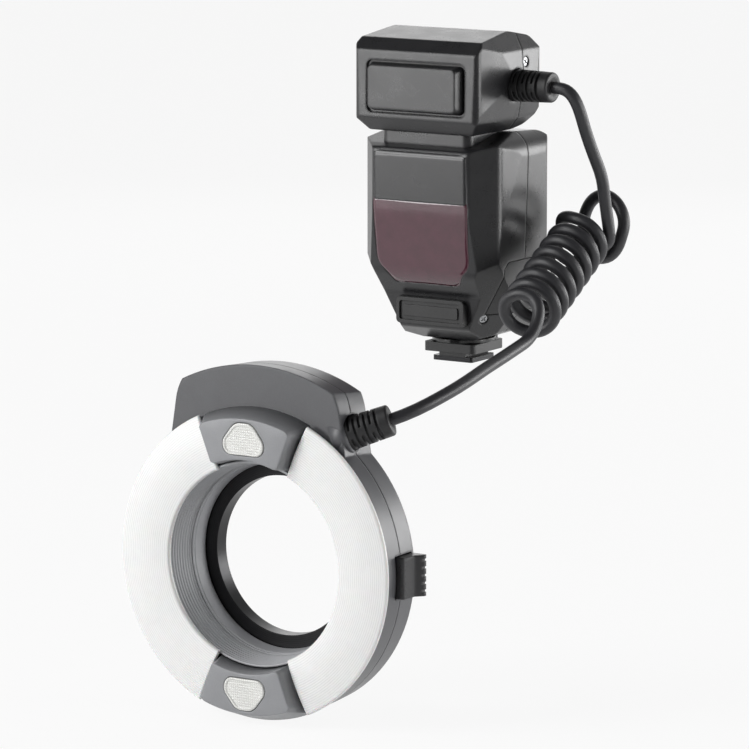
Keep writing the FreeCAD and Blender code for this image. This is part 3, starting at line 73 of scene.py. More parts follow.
def linear(hex_colour: str) -> tuple[float, float, float, float]:
    """Turn an sRGB hex colour into linear values.

    Args:
        hex_colour: six hex digits.

    Returns:
        Linear red, green and blue, and an alpha of one.
    """
    parts = [int(hex_colour[i:i + 2], 16) / 255 for i in (0, 2, 4)]
    red, green, blue = (p / 12.92 if p <= 0.04045 else ((p + 0.055) / 1.055) ** 2.4 for p in parts)
    return red, green, blue, 1.0


# Materials

# The wave texture repeats every 0.31 over its scale, so this divisor makes a wave two grain widths long
WAVE_DIVISOR = 6.3
# Cloudy unevenness, coarser than on the real surfaces so that it shows
MOTTLE_MM = 9.0
# Sums of grain and mottle between which a surface turns from its colour to its worn colour
MOTTLE_SPAN = (0.6, 1.4)
ROUGHNESS_SPREAD = 0.06
LEAST_ROUGHNESS = 0.02
COAT_ROUGHNESS = 0.08
SCATTER_MM = 2.0


class Grain(Enum):
    """How a surface was made, which sets the pattern that its bump follows."""

    SPARK = "spark-eroded mould texture"
    SMOOTH = "polished mould"
    RINGS = "concentric turning or moulding lines"
    FLUTES = "crossed flutes"


def add_node(tree: NodeTree, kind: str, links: dict | None = None, **settings) -> Node:
    """Add a shader node with its settings and incoming links.

    Args:
        tree: node tree that gets the node.
        kind: Blender's name of the node type, without its ShaderNode prefix.
        links: input name or number to an output socket, or to a plain value.
        settings: attributes of the node.

    Returns:
        The new node.
    """
    node = tree.nodes.new("ShaderNode" + kind)
    for name, value in settings.items():
        setattr(node, name, value)
    for name, value in (links or {}).items():
        socket = node.inputs[name]
        if isinstance(value, NodeSocket):
            tree.links.new(value, socket)
        else:
            socket.default_value = value
    return node


def combine(tree: NodeTree, operation: str, first: NodeSocket, second: NodeSocket | float) -> NodeSocket:
    """Result of a math operation on two values."""
    return add_node(tree, "Math", {0: first, 1: second}, operation=operation).outputs["Value"]


def empty_tree(holder: Material | bpy.types.World) -> NodeTree:
    """Node tree of a new material or world, without its first nodes.

    Args:
        holder: the material or world.

    Returns:
        Its tree.
    """
    holder.use_nodes = True
    holder.node_tree.nodes.clear()
    return holder.node_tree


@dataclass(frozen=True)
class Finish:
    """One finish: the real material, how it was made and what light does on it.

    The grains are coarser than the real ones, which are too fine to show.
    """

    name: str
    colour: str
    worn: str
    roughness: float = 0.45
    ior: float = 1.53
    metallic: float = 0.0
    grain: Grain = Grain.SPARK
    grain_mm: float = 0.5
    bump_mm: float = 0.02
    edge_mm: float = 0.35
    coat: float = 0.0
    transmission: float = 0.0
    subsurface: float = 0.0

    def pattern(self, tree: NodeTree, place: NodeSocket) -> NodeSocket:
        """Height pattern of the grain: noise, rings about the lens axis or two crossed waves.

        Args:
            tree: node tree of the material.
            place: coordinates in metres from the middle of the ring's front.

        Returns:
            Socket with the pattern, from 0 to 1.
        """
        scale = 1.0 / (self.grain_mm * MM)
        wave = {"Vector": place, "Scale": scale / WAVE_DIVISOR}
        if self.grain is Grain.RINGS:
            rings = add_node(tree, "TexWave", {**wave, "Distortion": 1.2, "Detail": 2.0, "Detail Scale": 3.0},
                             wave_type="RINGS", rings_direction="Y")
            return rings.outputs["Fac"]
        if self.grain is Grain.FLUTES:
            across, along = (add_node(tree, "TexWave", wave, wave_type="BANDS",
                                      bands_direction=way).outputs["Fac"] for way in "XZ")
            return combine(tree, "MULTIPLY", across, along)
        noise = add_node(tree, "TexNoise", {"Vector": place, "Scale": scale, "Detail": 3.0,
                                            "Roughness": 0.6})
        return noise.outputs["Fac"]

    def build(self) -> Material:
        """Build the material.

        Returns:
            Material with its nodes.
        """
        material = bpy.data.materials.new(self.name)
        tree = empty_tree(material)
        place = add_node(tree, "TexCoord").outputs["Object"]
        centred = add_node(tree, "Mapping", {"Vector": place,
                                             "Location": (0.0, -RING_FRONT_Y * MM, -LENS_AXIS_Z * MM)})
        fine = self.pattern(tree, centred.outputs["Vector"])
        broad = add_node(tree, "TexNoise", {"Vector": place, "Scale": 1 / (MOTTLE_MM * MM),
                                            "Detail": 4.0, "Roughness": 0.65})
        wear = add_node(tree, "MapRange", {"Value": combine(tree, "ADD", fine, broad.outputs["Fac"]),
                                           "From Min": MOTTLE_SPAN[0], "From Max": MOTTLE_SPAN[1]})
        colour = add_node(tree, "Mix", {0: wear.outputs["Result"], 6: linear(self.colour),
                                        7: linear(self.worn)}, data_type="RGBA")
        rough = add_node(tree, "MapRange", {
            "Value": wear.outputs["Result"], "To Max": self.roughness + ROUGHNESS_SPREAD,
            "To Min": max(self.roughness - ROUGHNESS_SPREAD, LEAST_ROUGHNESS)})
        edge = add_node(tree, "Bevel", {"Radius": self.edge_mm * MM}, samples=4)
        bump = add_node(tree, "Bump", {"Height": fine, "Normal": edge.outputs["Normal"], "Strength": 1.0,
                                       "Distance": self.bump_mm * MM})
        shader = add_node(tree, "BsdfPrincipled", {
            "Base Color": colour.outputs[2], "Roughness": rough.outputs["Result"],
            "Normal": bump.outputs["Normal"], "Metallic": self.metallic, "IOR": self.ior,
            "Coat Weight": self.coat, "Coat Roughness": COAT_ROUGHNESS,
            "Transmission Weight": self.transmission, "Subsurface Weight": self.subsurface,
            "Subsurface Scale": SCATTER_MM * MM})
        add_node(tree, "OutputMaterial", {"Surface": shader.outputs["BSDF"]})
        return material


# Moulded ABS, spark-eroded texture: near black, whose grain breaks up the highlights
CHARCOAL_ABS = Finish("moulded_charcoal_abs", "1e1e20", "262628", 0.3, grain_mm=0.45, bump_mm=0.005,
                      edge_mm=1.3)
# Bare field over the window: the same ABS from a finer mould, a tone darker with a calmer sheen
FIELD_ABS = Finish("fine_charcoal_abs", "1b1b1d", "232325", 0.24, grain_mm=0.4, bump_mm=0.003, edge_mm=0.2)
# The ring head's ABS: the body's near-black plastic painted a tone lighter, as a painted sheen for the
# surround its hood reflects, and a little duller
RING_ABS_PAINTED_SHEEN = Finish("moulded_ring_abs_painted_sheen", "4b4b4e", "555659", 0.36, grain_mm=0.5, bump_mm=0.005, edge_mm=1.3)
# Lamp blocks: matt mid grey ABS, whose sloping sides stay a tone darker than the face
LAMP_ABS = Finish("moulded_lamp_block_abs", "8c8d90", "97989b", 0.4, grain_mm=0.5, bump_mm=0.006)
# Bore sleeve: the ring's black ABS painted mid grey, as painted light on it, whose moulded grooves each catch
# a line of light
SLEEVE_ABS_PAINTED_LIGHT = Finish("moulded_sleeve_abs_painted_light", "a8a9ac", "b4b5b8", 0.4, grain_mm=0.5, bump_mm=0.01)
# Unpainted black polycarbonate inside and in the joints: dull, with hardly a highlight
BLACK_PC = Finish("black_polycarbonate", "121213", "1a1a1b", 0.5, grain_mm=0.6, bump_mm=0.01)
# ABS from a polished mould: black, with small sharp highlights
GLOSS_BLACK = Finish("polished_black_abs", "0c0c0d", "141415", 0.16, grain=Grain.SMOOTH, grain_mm=4.0,
                     bump_mm=0.002, coat=0.3)
# Infrared-passing acrylic with a polished face: dark wine red under a clear reflection
RED_ACRYLIC = Finish("dark_red_acrylic", "46202c", "552837", 0.1, 1.49, grain=Grain.SMOOTH, grain_mm=6.0,
                     bump_mm=0.001, coat=0.8, edge_mm=0.2)
# Opal polycarbonate: clean white that light enters a little, with faint concentric lines
OPAL_DIFFUSER = Finish("opal_polycarbonate", "efefee", "f7f7f6", 0.32, 1.58, grain=Grain.RINGS,
                       grain_mm=0.45, bump_mm=0.004, subsurface=0.1, edge_mm=0.2)
# Clear acrylic over a bright reflector, shown as a pale solid with a fine glittering mesh
FLUTED_LENS = Finish("fluted_clear_acrylic", "dcdcd8", "f4f4f0", 0.12, 1.49, grain=Grain.FLUTES,
                     grain_mm=0.5, bump_mm=0.02, coat=0.5)
# Bright rolled aluminium: a mirror with soft lines round the ring
BRIGHT_ALUMINIUM = Finish("bright_reflector_aluminium", "dcdcdc", "f0f0f0", 0.2, 1.5, metallic=1.0,
                          grain=Grain.RINGS, grain_mm=1.2, bump_mm=0.01)
# Turned aluminium, anodised black: a dark metal sheen along its turning lines
BLACK_ANODISED = Finish("black_anodised_aluminium", "1b1b1d", "232325", 0.34, 1.5, metallic=0.6,
                        grain=Grain.RINGS, grain_mm=0.4, bump_mm=0.006)
# Zinc-plated steel: bright grey, slightly uneven
ZINC_STEEL = Finish("zinc_plated_steel", "8a8b8d", "a5a6a8", 0.28, 1.5, metallic=1.0, grain_mm=0.3,
                    bump_mm=0.004)
# Gold plating on brass contacts: warm and smooth
GOLD_PLATE = Finish("gold_plated_brass", "c9a55b", "dcbb74", 0.2, 1.5, metallic=1.0, grain_mm=0.3,
                    bump_mm=0.003)
# Extruded TPU jacket: black, with a satin line of light along the cord
CORD_TPU = Finish("satin_black_tpu", "29292c", "333336", 0.44, 1.5, grain_mm=0.7, bump_mm=0.01, edge_mm=0.2)
# Moulded rubber of boots, keys and covers: black and matt
SOFT_RUBBER = Finish("moulded_black_rubber", "1a1a1b", "242425", 0.5, grain_mm=0.5, bump_mm=0.01)
# Tinted acrylic over the display: near black and glossy
DISPLAY_ACRYLIC = Finish("display_window_acrylic", "15181a", "1b1f21", 0.06, 1.49, grain=Grain.SMOOTH,
                         grain_mm=6.0, bump_mm=0.001, coat=0.5)
# Liquid crystal cell: flat greenish grey
LCD_CELL = Finish("lcd_cell", "7f8c7c", "8a9786", 0.3, grain=Grain.SMOOTH, grain_mm=3.0, bump_mm=0.002)
# Black solder resist: satin, so that no board shines through a slot
SOLDER_RESIST = Finish("black_solder_resist", "0f1411", "161c18", 0.3, grain_mm=0.8, bump_mm=0.01)
# Quartz tubes: pale and glassy
TUBE_GLASS = Finish("quartz_tube_glass", "d7dde2", "eef2f5", 0.06, 1.46, grain=Grain.SMOOTH, grain_mm=5.0,
                    bump_mm=0.001, transmission=0.4)
# Shrink sleeve of the cells: smooth dark blue film
CELL_SLEEVE = Finish("shrink_sleeve", "2c3d5c", "36496b", 0.24, grain=Grain.SMOOTH, grain_mm=5.0,
                     bump_mm=0.002)

FINISH_NODES: dict[Finish, str] = {
    CHARCOAL_ABS: "body_front_shell body_rear_shell front_panel battery_door neck head_front_shell "
                  "head_rear_shell head_front_panel left_release right_release",
    RING_ABS_PAINTED_SHEEN: "ring_front_shell ring_rear_shell bore_sleeve",
    LAMP_ABS: "upper_lamp_block lower_lamp_block",
    BLACK_PC: "foot_block badge_plate battery_holder select_dial power_switch capacitor_saddle",
    GLOSS_BLACK: "lock_lever flash_capacitor",
    RED_ACRYLIC: "red_window",
    OPAL_DIFFUSER: "left_diffuser right_diffuser",
    FLUTED_LENS: "upper_lamp_lens lower_lamp_lens",
    BRIGHT_ALUMINIUM: "reflectors",
    BLACK_ANODISED: "shoe_foot adapter_ring adapter_flange",
    ZINC_STEEL: "lock_pin door_hinge_pin left_yoke right_yoke housing_screws",
    GOLD_PLATE: "shoe_contacts cell_contacts",
    SOFT_RUBBER: "door_latch side_cover mode_button lamp_button group_button sync_button test_button "
                 "set_button upper_strain_relief lower_strain_relief",
    DISPLAY_ACRYLIC: "display_window",
    LCD_CELL: "display_module",
    SOLDER_RESIST: "main_board control_board driver_board ring_board",
    TUBE_GLASS: "flash_tubes",
    CELL_SLEEVE: "battery_cells",
}
NODE_FINISH = {name: finish for finish, names in FINISH_NODES.items() for name in names.split()}

_built: dict[str, Material] = {}


def material_of(finish: Finish) -> Material:
    """Material of a finish, built once.

    Args:
        finish: the finish to look up.

    Returns:
        Its material.
    """
    if finish.name not in _built:
        _built[finish.name] = finish.build()
    return _built[finish.name]


def dress(piece: Object, finish: Finish) -> None:
    """Give a piece a single finish.

    Args:
        piece: object to dress.
        finish: what it is made of.
    """
    piece.data.materials.clear()
    piece.data.materials.append(material_of(finish))


# Meshes


def linked(name: str, data: ID) -> Object:
    """Object at the origin, linked to the scene.

    Args:
        name: object name.
        data: mesh, curve, light or camera that it holds.

    Returns:
        The object.
    """
    thing = bpy.data.objects.new(name, data)
    bpy.context.scene.collection.objects.link(thing)
    return thing


def smooth_mesh(name: str, points: Array, faces: list[list[int]]) -> Mesh:
    """Mesh with smooth shading.

    Args:
        name: mesh name.
        points: points in metres, shape (n, 3).
        faces: corner numbers of each face.

    Returns:
        The mesh.
    """
    mesh = bpy.data.meshes.new(name)
    mesh.from_pydata(points.tolist(), [], faces)
    mesh.polygons.foreach_set("use_smooth", np.ones(len(mesh.polygons), bool))
    mesh.update()
    return mesh


def grid_faces(rows: int, columns: int, wrap_rows: bool, wrap_columns: bool) -> list[list[int]]:
    """Corner numbers of the squares of a grid.

    Args:
        rows: number of point rows.
        columns: number of points in a row.
        wrap_rows: whether the last row joins the first.
        wrap_columns: whether the last column joins the first.

    Returns:
        Four corner numbers for each square.
    """
    i = np.arange(rows if wrap_rows else rows - 1)
    j = np.arange(columns if wrap_columns else columns - 1)
    i, j = (a.ravel() for a in np.meshgrid(i, j, indexing="ij"))
    i2, j2 = (i + 1) % rows, (j + 1) % columns
    return np.stack([i * columns + j, i * columns + j2, i2 * columns + j2, i2 * columns + j], axis=1).tolist()


def surface(name: str, grid: Array, finish: Finish, wrap_rows: bool = False, caps: bool = True) -> Object:
    """Make a piece from a grid of points whose last column joins the first.

    Args:
        name: object name.
        grid: points in millimetres, shape (rows, columns, 3).
        finish: what the piece is made of.
        wrap_rows: whether the last row joins the first.
        caps: whether the first and last rows are closed by a face.

    Returns:
        The object, with its faces turned outwards.
    """
    rows, columns = grid.shape[:2]
    faces = grid_faces(rows, columns, wrap_rows, True)
    if caps and not wrap_rows:
        faces.append(list(range(columns))[::-1])
        faces.append([(rows - 1) * columns + j for j in range(columns)])
    piece = linked(name, smooth_mesh(name, grid.reshape(-1, 3) * MM, faces))
    dress(piece, finish)
    turn_outwards(piece)
    return piece


def turn_outwards(piece: Object) -> None:
    """Turn a closed mesh's faces outwards, after its double points are merged.

    Args:
        piece: object whose mesh is mended.
    """
    work = bmesh.new()
    work.from_mesh(piece.data)
    bmesh.ops.remove_doubles(work, verts=work.verts, dist=1e-7)
    bmesh.ops.recalc_face_normals(work, faces=work.faces)
    work.to_mesh(piece.data)
    work.free()
    piece.data.update()


def unit(vectors: Array | Point) -> Array:
    """Vectors of length one along the given ones."""
    return np.array(vectors) / np.linalg.norm(vectors, axis=-1, keepdims=True)


def cross_frame(direction: Point) -> tuple[Array, Array, Array]:
    """Three unit vectors at right angles, for a piece turned about an axis.

    Args:
        direction: the way the axis points.

    Returns:
        The axis, the level direction beside it and the one above it.
    """
    axis = unit(direction)
    side = unit(np.cross(axis, [0.0, 0.0, 1.0]))
    return axis, side, np.cross(side, axis)


def bearings(count: int) -> tuple[Array, Array]:
    """Angles evenly round a circle in radians, and unit vectors that point there."""
    angles = np.linspace(0, 2 * np.pi, count, endpoint=False)
    return angles, np.stack([np.cos(angles), np.sin(angles)], axis=1)


def mirrored(right: Sequence[Point]) -> list[Point]:
    """Corners of a whole outline from those on its right side."""
    return list(right) + [(-u, v, r) for u, v, r in reversed(right)]


def rounded(corners: Sequence[Point], per_corner: int = 10) -> Array:
    """Closed outline of straight sides with arcs at its corners.

    Each corner (u, v, radius) becomes per_corner points on the arc that touches both sides: its
    centre lies on the bisector at radius divided by the sine of half the angle.

    Args:
        corners: corner points with their radii.
        per_corner: points on each arc.

    Returns:
        Points of shape (corners x per_corner, 2).
    """
    c = np.array(corners, float)
    p, r = c[:, :2], c[:, 2]
    before, after = unit(np.roll(p, 1, axis=0) - p), unit(np.roll(p, -1, axis=0) - p)
    half = np.arccos(np.clip((before * after).sum(1), -1, 1)) / 2
    centre = p + unit(before + after) * (r / np.sin(half))[:, None]
    start = p + before * (r / np.tan(half))[:, None] - centre
    end = p + after * (r / np.tan(half))[:, None] - centre
    a0 = np.arctan2(start[:, 1], start[:, 0])
    a1 = np.arctan2(end[:, 1], end[:, 0])
    sweep = (a1 - a0 + np.pi) % (2 * np.pi) - np.pi
    t = np.linspace(0, 1, per_corner)
    angle = a0[:, None] + sweep[:, None] * t
    ring = centre[:, None, :] + r[:, None, None] * np.stack([np.cos(angle), np.sin(angle)], axis=2)
    return ring.reshape(-1, 2)


def polar_reach(outline: Array, centre: Array, angles: Array) -> Array:
    """Distance from a centre to an outline at given angles, for an outline seen whole from there.

    The outline is divided into short steps, and the distance is read between their bearings.

    Args:
        outline: closed outline, shape (n, 2).
        centre: point inside it.
        angles: angles in radians.

    Returns:
        Distances, one for each angle.
    """
    ring = np.vstack([outline, outline[:1]])
    steps = np.linspace(0, 1, 12, endpoint=False)[None, :, None]
    dense = (ring[:-1, None] * (1 - steps) + ring[1:, None] * steps).reshape(-1, 2) - centre
    bearing = np.arctan2(dense[:, 1], dense[:, 0]) % (2 * np.pi)
    order = np.argsort(bearing)
    return np.interp(angles % (2 * np.pi), bearing[order], np.hypot(*dense[order].T), period=2 * np.pi)


def smooth_step(x: Array) -> Array:
    """Ease from 0 to 1 with flat ends: 3x squared minus 2x cubed."""
    x = np.clip(x, 0, 1)
    return x * x * (3 - 2 * x)


def ring_points(radius: Array, angle_deg: Array, depth: Array) -> Array:
    """Points of the ring head from radius, angle from the top towards +X, and depth.

    Args:
        radius: distance from the lens axis.
        angle_deg: angle in degrees.
        depth: distance behind the ring's front plane.

    Returns:
        Points whose last axis is x, y, z.
    """
    a = np.radians(angle_deg)
    radius, a, depth = np.broadcast_arrays(radius, a, depth)
    return np.stack([radius * np.sin(a), RING_FRONT_Y + depth, LENS_AXIS_Z + radius * np.cos(a)], axis=-1)


def keep(piece: Object, body: str, slot: str, *nodes: str) -> Object:
    """Make a piece ride on its body and stand for nodes.

    Args:
        piece: the finished piece.
        body: body that carries it.
        slot: material slot of the record; not used.
        nodes: construction nodes that it replaces.

    Returns:
        The piece.
    """
    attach(piece, body)
    if nodes:
        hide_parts(*nodes)
    log.info("made %s", piece.name)
    return piece


# Cord


@dataclass
class CurlyCord:
    """The cord between the two strain reliefs: a free stretch, a curly coil with one loose turn, a tail."""

    diameter: float = 5.0
    coil_front: Point = (52.3, -37.0, 27.6)
    coil_rear: Point = (51.0, 8.5, 53.2)
    turns: float = 7.0
    first_turn: float = -1.5
    last_turn: float = 7.25
    per_turn: int = 16
    loose_direction: Point = (-0.26, -0.95, 0.05)
    end_direction: Point = (0.30, -0.90, -0.20)
    exit_point: Point = (61.8, -56.0, 18.9)
    exit_direction: Point = (0.06, -0.98, -0.17)
    exit_pull: float = 34.0
    # From this turn on the axis leans to the end direction, over so many turns by this share
    lean_turn: float = 5.0
    lean_turns: float = 2.4
    lean_share: float = 0.6
    upper_end: Point = (47.5, -10.0, 114.6)
    upper_straight: float = 4.0
    upper_route: tuple[Point, ...] = ((55.0, -9.7, 113.0), (57.2, -8.8, 109.6), (58.4, -7.0, 104.5),
                                      (59.0, -4.0, 97.0), (60.0, 0.3, 88.0), (61.5, 5.0, 78.5))
    lead_in: float = 11.0
    lead_out: float = 15.0
    lower_route: tuple[Point, ...] = ((63.2, -88.0, 13.2), (64.0, -102.0, 10.5), (63.6, -116.0, 7.6))
    lower_straight: float = 8.0
    lower_end: Point = (52.124, -138.538, -0.418)
    # turn, way along the axis, radius, share of the tight direction, shift along X, lift
    loose_keys: tuple[tuple[float, ...], ...] = (
        (-1.5, -4.0, 10.0, 0.2, 0.3, 2.0), (-1.25, -8.5, 7.6, 0.0, -0.5, 3.5),
        (-1.0, -12.0, 9.6, 0.0, -2.0, 4.5), (-0.75, -14.5, 11.0, 0.0, -2.5, 5.0),
        (-0.5, -14.5, 11.2, 0.1, -2.0, 5.0), (-0.25, -8.5, 13.8, 0.4, -1.0, 3.5),
        (0.0, -2.5, 11.4, 0.8, -0.3, 1.0), (0.25, 1.868, 10.1, 1.0, 0.0, 0.0))

    def coil(self, turn: Array) -> Array:
        """Centre line of the coil at given turns.

        A helix about an axis that leans from the loose to the tight direction and, near its end, to
        the end direction: the centre moves along the axis by its way along, and the point lies at
        the radius from it, clockwise by one turn per unit as seen from the front. Between two keys
        the way along goes evenly and the other values with a cosine ease.

        Args:
            turn: turns along the coil.

        Returns:
            Points of shape (n, 3).
        """
        rear = np.array(self.coil_rear)
        axis = np.array(self.coil_front) - rear
        pitch = np.linalg.norm(axis) / self.turns
        tight, loose, end = unit(axis), unit(self.loose_direction), unit(self.end_direction)
        keys = np.array(self.loose_keys)
        keys[-1, 1] = keys[-1, 0] * pitch
        slot = np.clip(np.searchsorted(keys[:, 0], turn, side="left") - 1, 0, len(keys) - 2)
        share = np.clip((turn - keys[slot, 0]) / (keys[slot + 1, 0] - keys[slot, 0]), 0, 1)
        eased = (1 - np.cos(np.pi * share)) / 2
        along = keys[slot, 1] + (keys[slot + 1, 1] - keys[slot, 1]) * share
        along = np.where(turn >= keys[-1, 0], turn * pitch, along)
        radius, mix, shift, lift = (keys[slot, k] + (keys[slot + 1, k] - keys[slot, k]) * eased
                                    for k in (2, 3, 4, 5))
        facing = unit(loose * (1 - mix)[:, None] + tight * mix[:, None])
        lean = (np.maximum(0, (turn - self.lean_turn) / self.lean_turns) * self.lean_share)[:, None]
        facing = unit(facing * (1 - lean) + end * lean)
        right = unit(np.cross([0.0, 0.0, 1.0], facing))
        top = np.cross(facing, right)
        top *= np.sign(top[:, 2:3])
        centre = rear + tight * np.maximum(along, 0)[:, None] + loose * np.minimum(along, 0)[:, None]
        centre = centre + np.stack([shift, np.zeros_like(shift), lift], axis=1)
        angle = (2 * np.pi * turn)[:, None]
        return centre - right * radius[:, None] * np.cos(angle) + top * radius[:, None] * np.sin(angle)

    def tangent(self, turn: float) -> Array:
        """Direction of the centre line at a turn, from two points close beside it."""
        a, b = self.coil(np.array([turn - 0.002, turn + 0.002]))
        return unit(b - a)

    def exit_bend(self, share: Array) -> Array:
        """Bend from the last turn to the tail, a cubic with given ends and end directions.

        Args:
            share: way along the bend, from 0 to 1.

        Returns:
            Points of shape (n, 3).
        """
        u = share[:, None]
        start = self.coil(np.array([self.last_turn]))[0]
        leave = self.tangent(self.last_turn) * self.exit_pull
        arrive = unit(self.exit_direction) * self.exit_pull
        return (start * (2 * u ** 3 - 3 * u ** 2 + 1) + leave * (u ** 3 - 2 * u ** 2 + u)
                + np.array(self.exit_point) * (3 * u ** 2 - 2 * u ** 3) + arrive * (u ** 3 - u ** 2))

    def route(self) -> Array:
        """Control points of the whole cord, from the head box to the ring head.

        Returns:
            Points of shape (n, 3) in millimetres.
        """
        count = int(round((self.last_turn - self.first_turn) * self.per_turn)) + 1
        coil = self.coil(np.linspace(self.first_turn, self.last_turn, count))
        way_in, way_out = self.tangent(self.first_turn), unit(self.exit_direction)
        begin = coil[0] - way_in * self.diameter
        bend = self.exit_bend(np.linspace(0, 1, 9)[1:])
        finish = bend[-1] + way_out * self.diameter
        upper_end, lower_end = np.array(self.upper_end), np.array(self.lower_end)
        upper = [upper_end, upper_end + [self.upper_straight, 0, 0], *self.upper_route,
                 begin - way_in * self.lead_in, begin]
        lower = [finish, finish + way_out * self.lead_out, *self.lower_route,
                 lower_end + unit(GLAND_AXIS) * self.lower_straight, lower_end]
        return np.vstack([upper, coil, bend, lower])

    def build(self) -> Object:
        """Make the cord as one smooth curve with a round section.

        Returns:
            The curve object.
        """
        points = self.route() * MM
        curve = bpy.data.curves.new("curly_cord", "CURVE")
        curve.dimensions = "3D"
        curve.bevel_depth = self.diameter / 2 * MM
        curve.bevel_resolution = 6
        curve.resolution_u = 3
        spline = curve.splines.new("NURBS")
        spline.points.add(len(points) - 1)
        spline.points.foreach_set("co", np.column_stack([points, np.ones(len(points))]).ravel())
        spline.order_u = 3
        spline.use_endpoint_u = True
        piece = linked("curly_cord", curve)
        dress(piece, CORD_TPU)
        keep(piece, HOUSING, "cord_rubber", "cord_upper_run", "cord_coil", "cord_lower_run")
        return piece


# Strain reliefs


@dataclass
class StrainRelief:
    """Moulded rubber boot with slots that let it bend: two half rings at a time, turned by turns."""

    name: str
    node: str
    base: Point
    axis: Point
    length: float
    sunk: float = 1.2
    radius: float = 6.5
    end_radius: float = 6.1
    end_round: float = 0.9
    end_drop: float = 0.8
    bore: float = 2.6
    mouth_lip: float = 0.9
    mouth_depth: float = 0.6
    collar: float = 4.0
    collar_groove: float = 0.35
    groove_offset: float = 0.25
    groove_ease: float = 0.22
    slots: int = 6
    slot_place: float = 0.62
    slot_width: float = 0.85
    slot_depth: float = 1.2
    slot_ease: float = 0.16
    bridge_deg: float = 30.0
    bridge_ease: float = 0.09
    around: int = 144
    rows: int = 210

    def radius_at(self, t: Array, phi: Array) -> Array:
        """Radius over the way along and the angle round the axis.

        It tapers evenly and falls by the slot depth inside each slot, which is a band of the way
        along times the part of the circle that isn't a bridge, with eased edges. A shallow groove
        sets off the collar, and the end falls away as a quarter circle.

        Args:
            t: way along from the base.
            phi: angle in radians.

        Returns:
            Radii.
        """
        ribbed = self.length - self.collar
        pitch = ribbed / self.slots
        number = np.clip(np.floor(t / pitch), 0, self.slots - 1)
        middle = (number + self.slot_place) * pitch
        band = smooth_step((self.slot_width / 2 - np.abs(t - middle)) / self.slot_ease + 0.5)
        band = band * (t > 0) * (t < ribbed)
        quarter = np.where(number % 2 == 0, 0.0, np.pi / 2)
        away = np.abs((phi - quarter + np.pi / 2) % np.pi - np.pi / 2)
        open_arc = smooth_step((away - math.radians(self.bridge_deg) / 2) / self.bridge_ease)
        taper = self.radius + (self.end_radius - self.radius) * np.clip(t / self.length, 0, 1)
        groove = 1 - smooth_step(np.abs(t - ribbed + self.groove_offset) / self.groove_ease)
        over = np.clip((t - self.length + self.end_round) / self.end_round, 0, 1)
        end = 1 - np.sqrt(1 - over ** 2)
        return taper - self.slot_depth * band * open_arc - self.collar_groove * groove - self.end_drop * end

    def build(self) -> Object:
        """Make the boot: circles about its axis, and a mouth drawn in round the cord.

        Returns:
            The piece.
        """
        axis, side, top = cross_frame(self.axis)
        angle, _ = bearings(self.around)
        t, phi = np.meshgrid(np.linspace(-self.sunk, self.length, self.rows), angle, indexing="ij")
        radius = self.radius_at(t, phi)
        ring = (np.array(self.base) + axis * t[..., None]
                + side * (radius * np.cos(phi))[..., None] + top * (radius * np.sin(phi))[..., None])
        depth = np.array([0.0, -self.mouth_depth])[:, None, None]
        mouth = (np.array(self.base) + axis * (self.length + depth)
                 + (side * np.cos(angle)[:, None] + top * np.sin(angle)[:, None])[None]
                 * np.array([self.bore + self.mouth_lip, self.bore])[:, None, None])
        piece = surface(self.name, np.concatenate([ring, mouth]), SOFT_RUBBER)
        return keep(piece, HOUSING, "cord_rubber", self.node)


@dataclass
class GlandCollar:
    """Boss on the ring head's shell that the lower boot stands on."""

    radius: float = 7.4
    foot_radius: float = 5.9
    seat_radius: float = 6.4
    start: float = -6.4
    end: float = -0.2
    foot_step: float = 0.01
    seat_step: float = 0.001
    edge_round: float = 0.8
    around: int = 96

    def build(self) -> Object:
        """Make the boss: a radius over the way along, with a quarter-circle edge at its open end.

        Returns:
            The piece.
        """
        axis, side, top = cross_frame(GLAND_AXIS)
        quarter = np.linspace(0, np.pi / 2, 7)
        along = np.concatenate([[self.start, self.start + self.foot_step],
                                self.end - self.edge_round * (1 - np.sin(quarter)),
                                [self.end - self.seat_step]])
        radius = np.concatenate([[self.foot_radius, self.radius],
                                 self.radius - self.edge_round * (1 - np.cos(quarter)), [self.seat_radius]])
        angle, _ = bearings(self.around)
        ring = side * np.cos(angle)[:, None] + top * np.sin(angle)[:, None]
        grid = np.array(GLAND_BASE) + axis * along[:, None, None] + ring[None] * radius[:, None, None]
        return keep(surface("gland_collar", grid, RING_ABS_PAINTED_SHEEN), HOUSING, "charcoal_abs")


# Control unit's front

# Depth of the body's front at a known height, and its slope over the height
BODY_FRONT_Y = -34.6
BODY_FRONT_Z = 89.0
LEAN_HEIGHTS = (26.0, 35.5, 41.5, 59.0, 65.0, 94.0)
LEAN_SLOPES = (-0.71, -0.71, -0.128, -0.128, -0.022, -0.022)


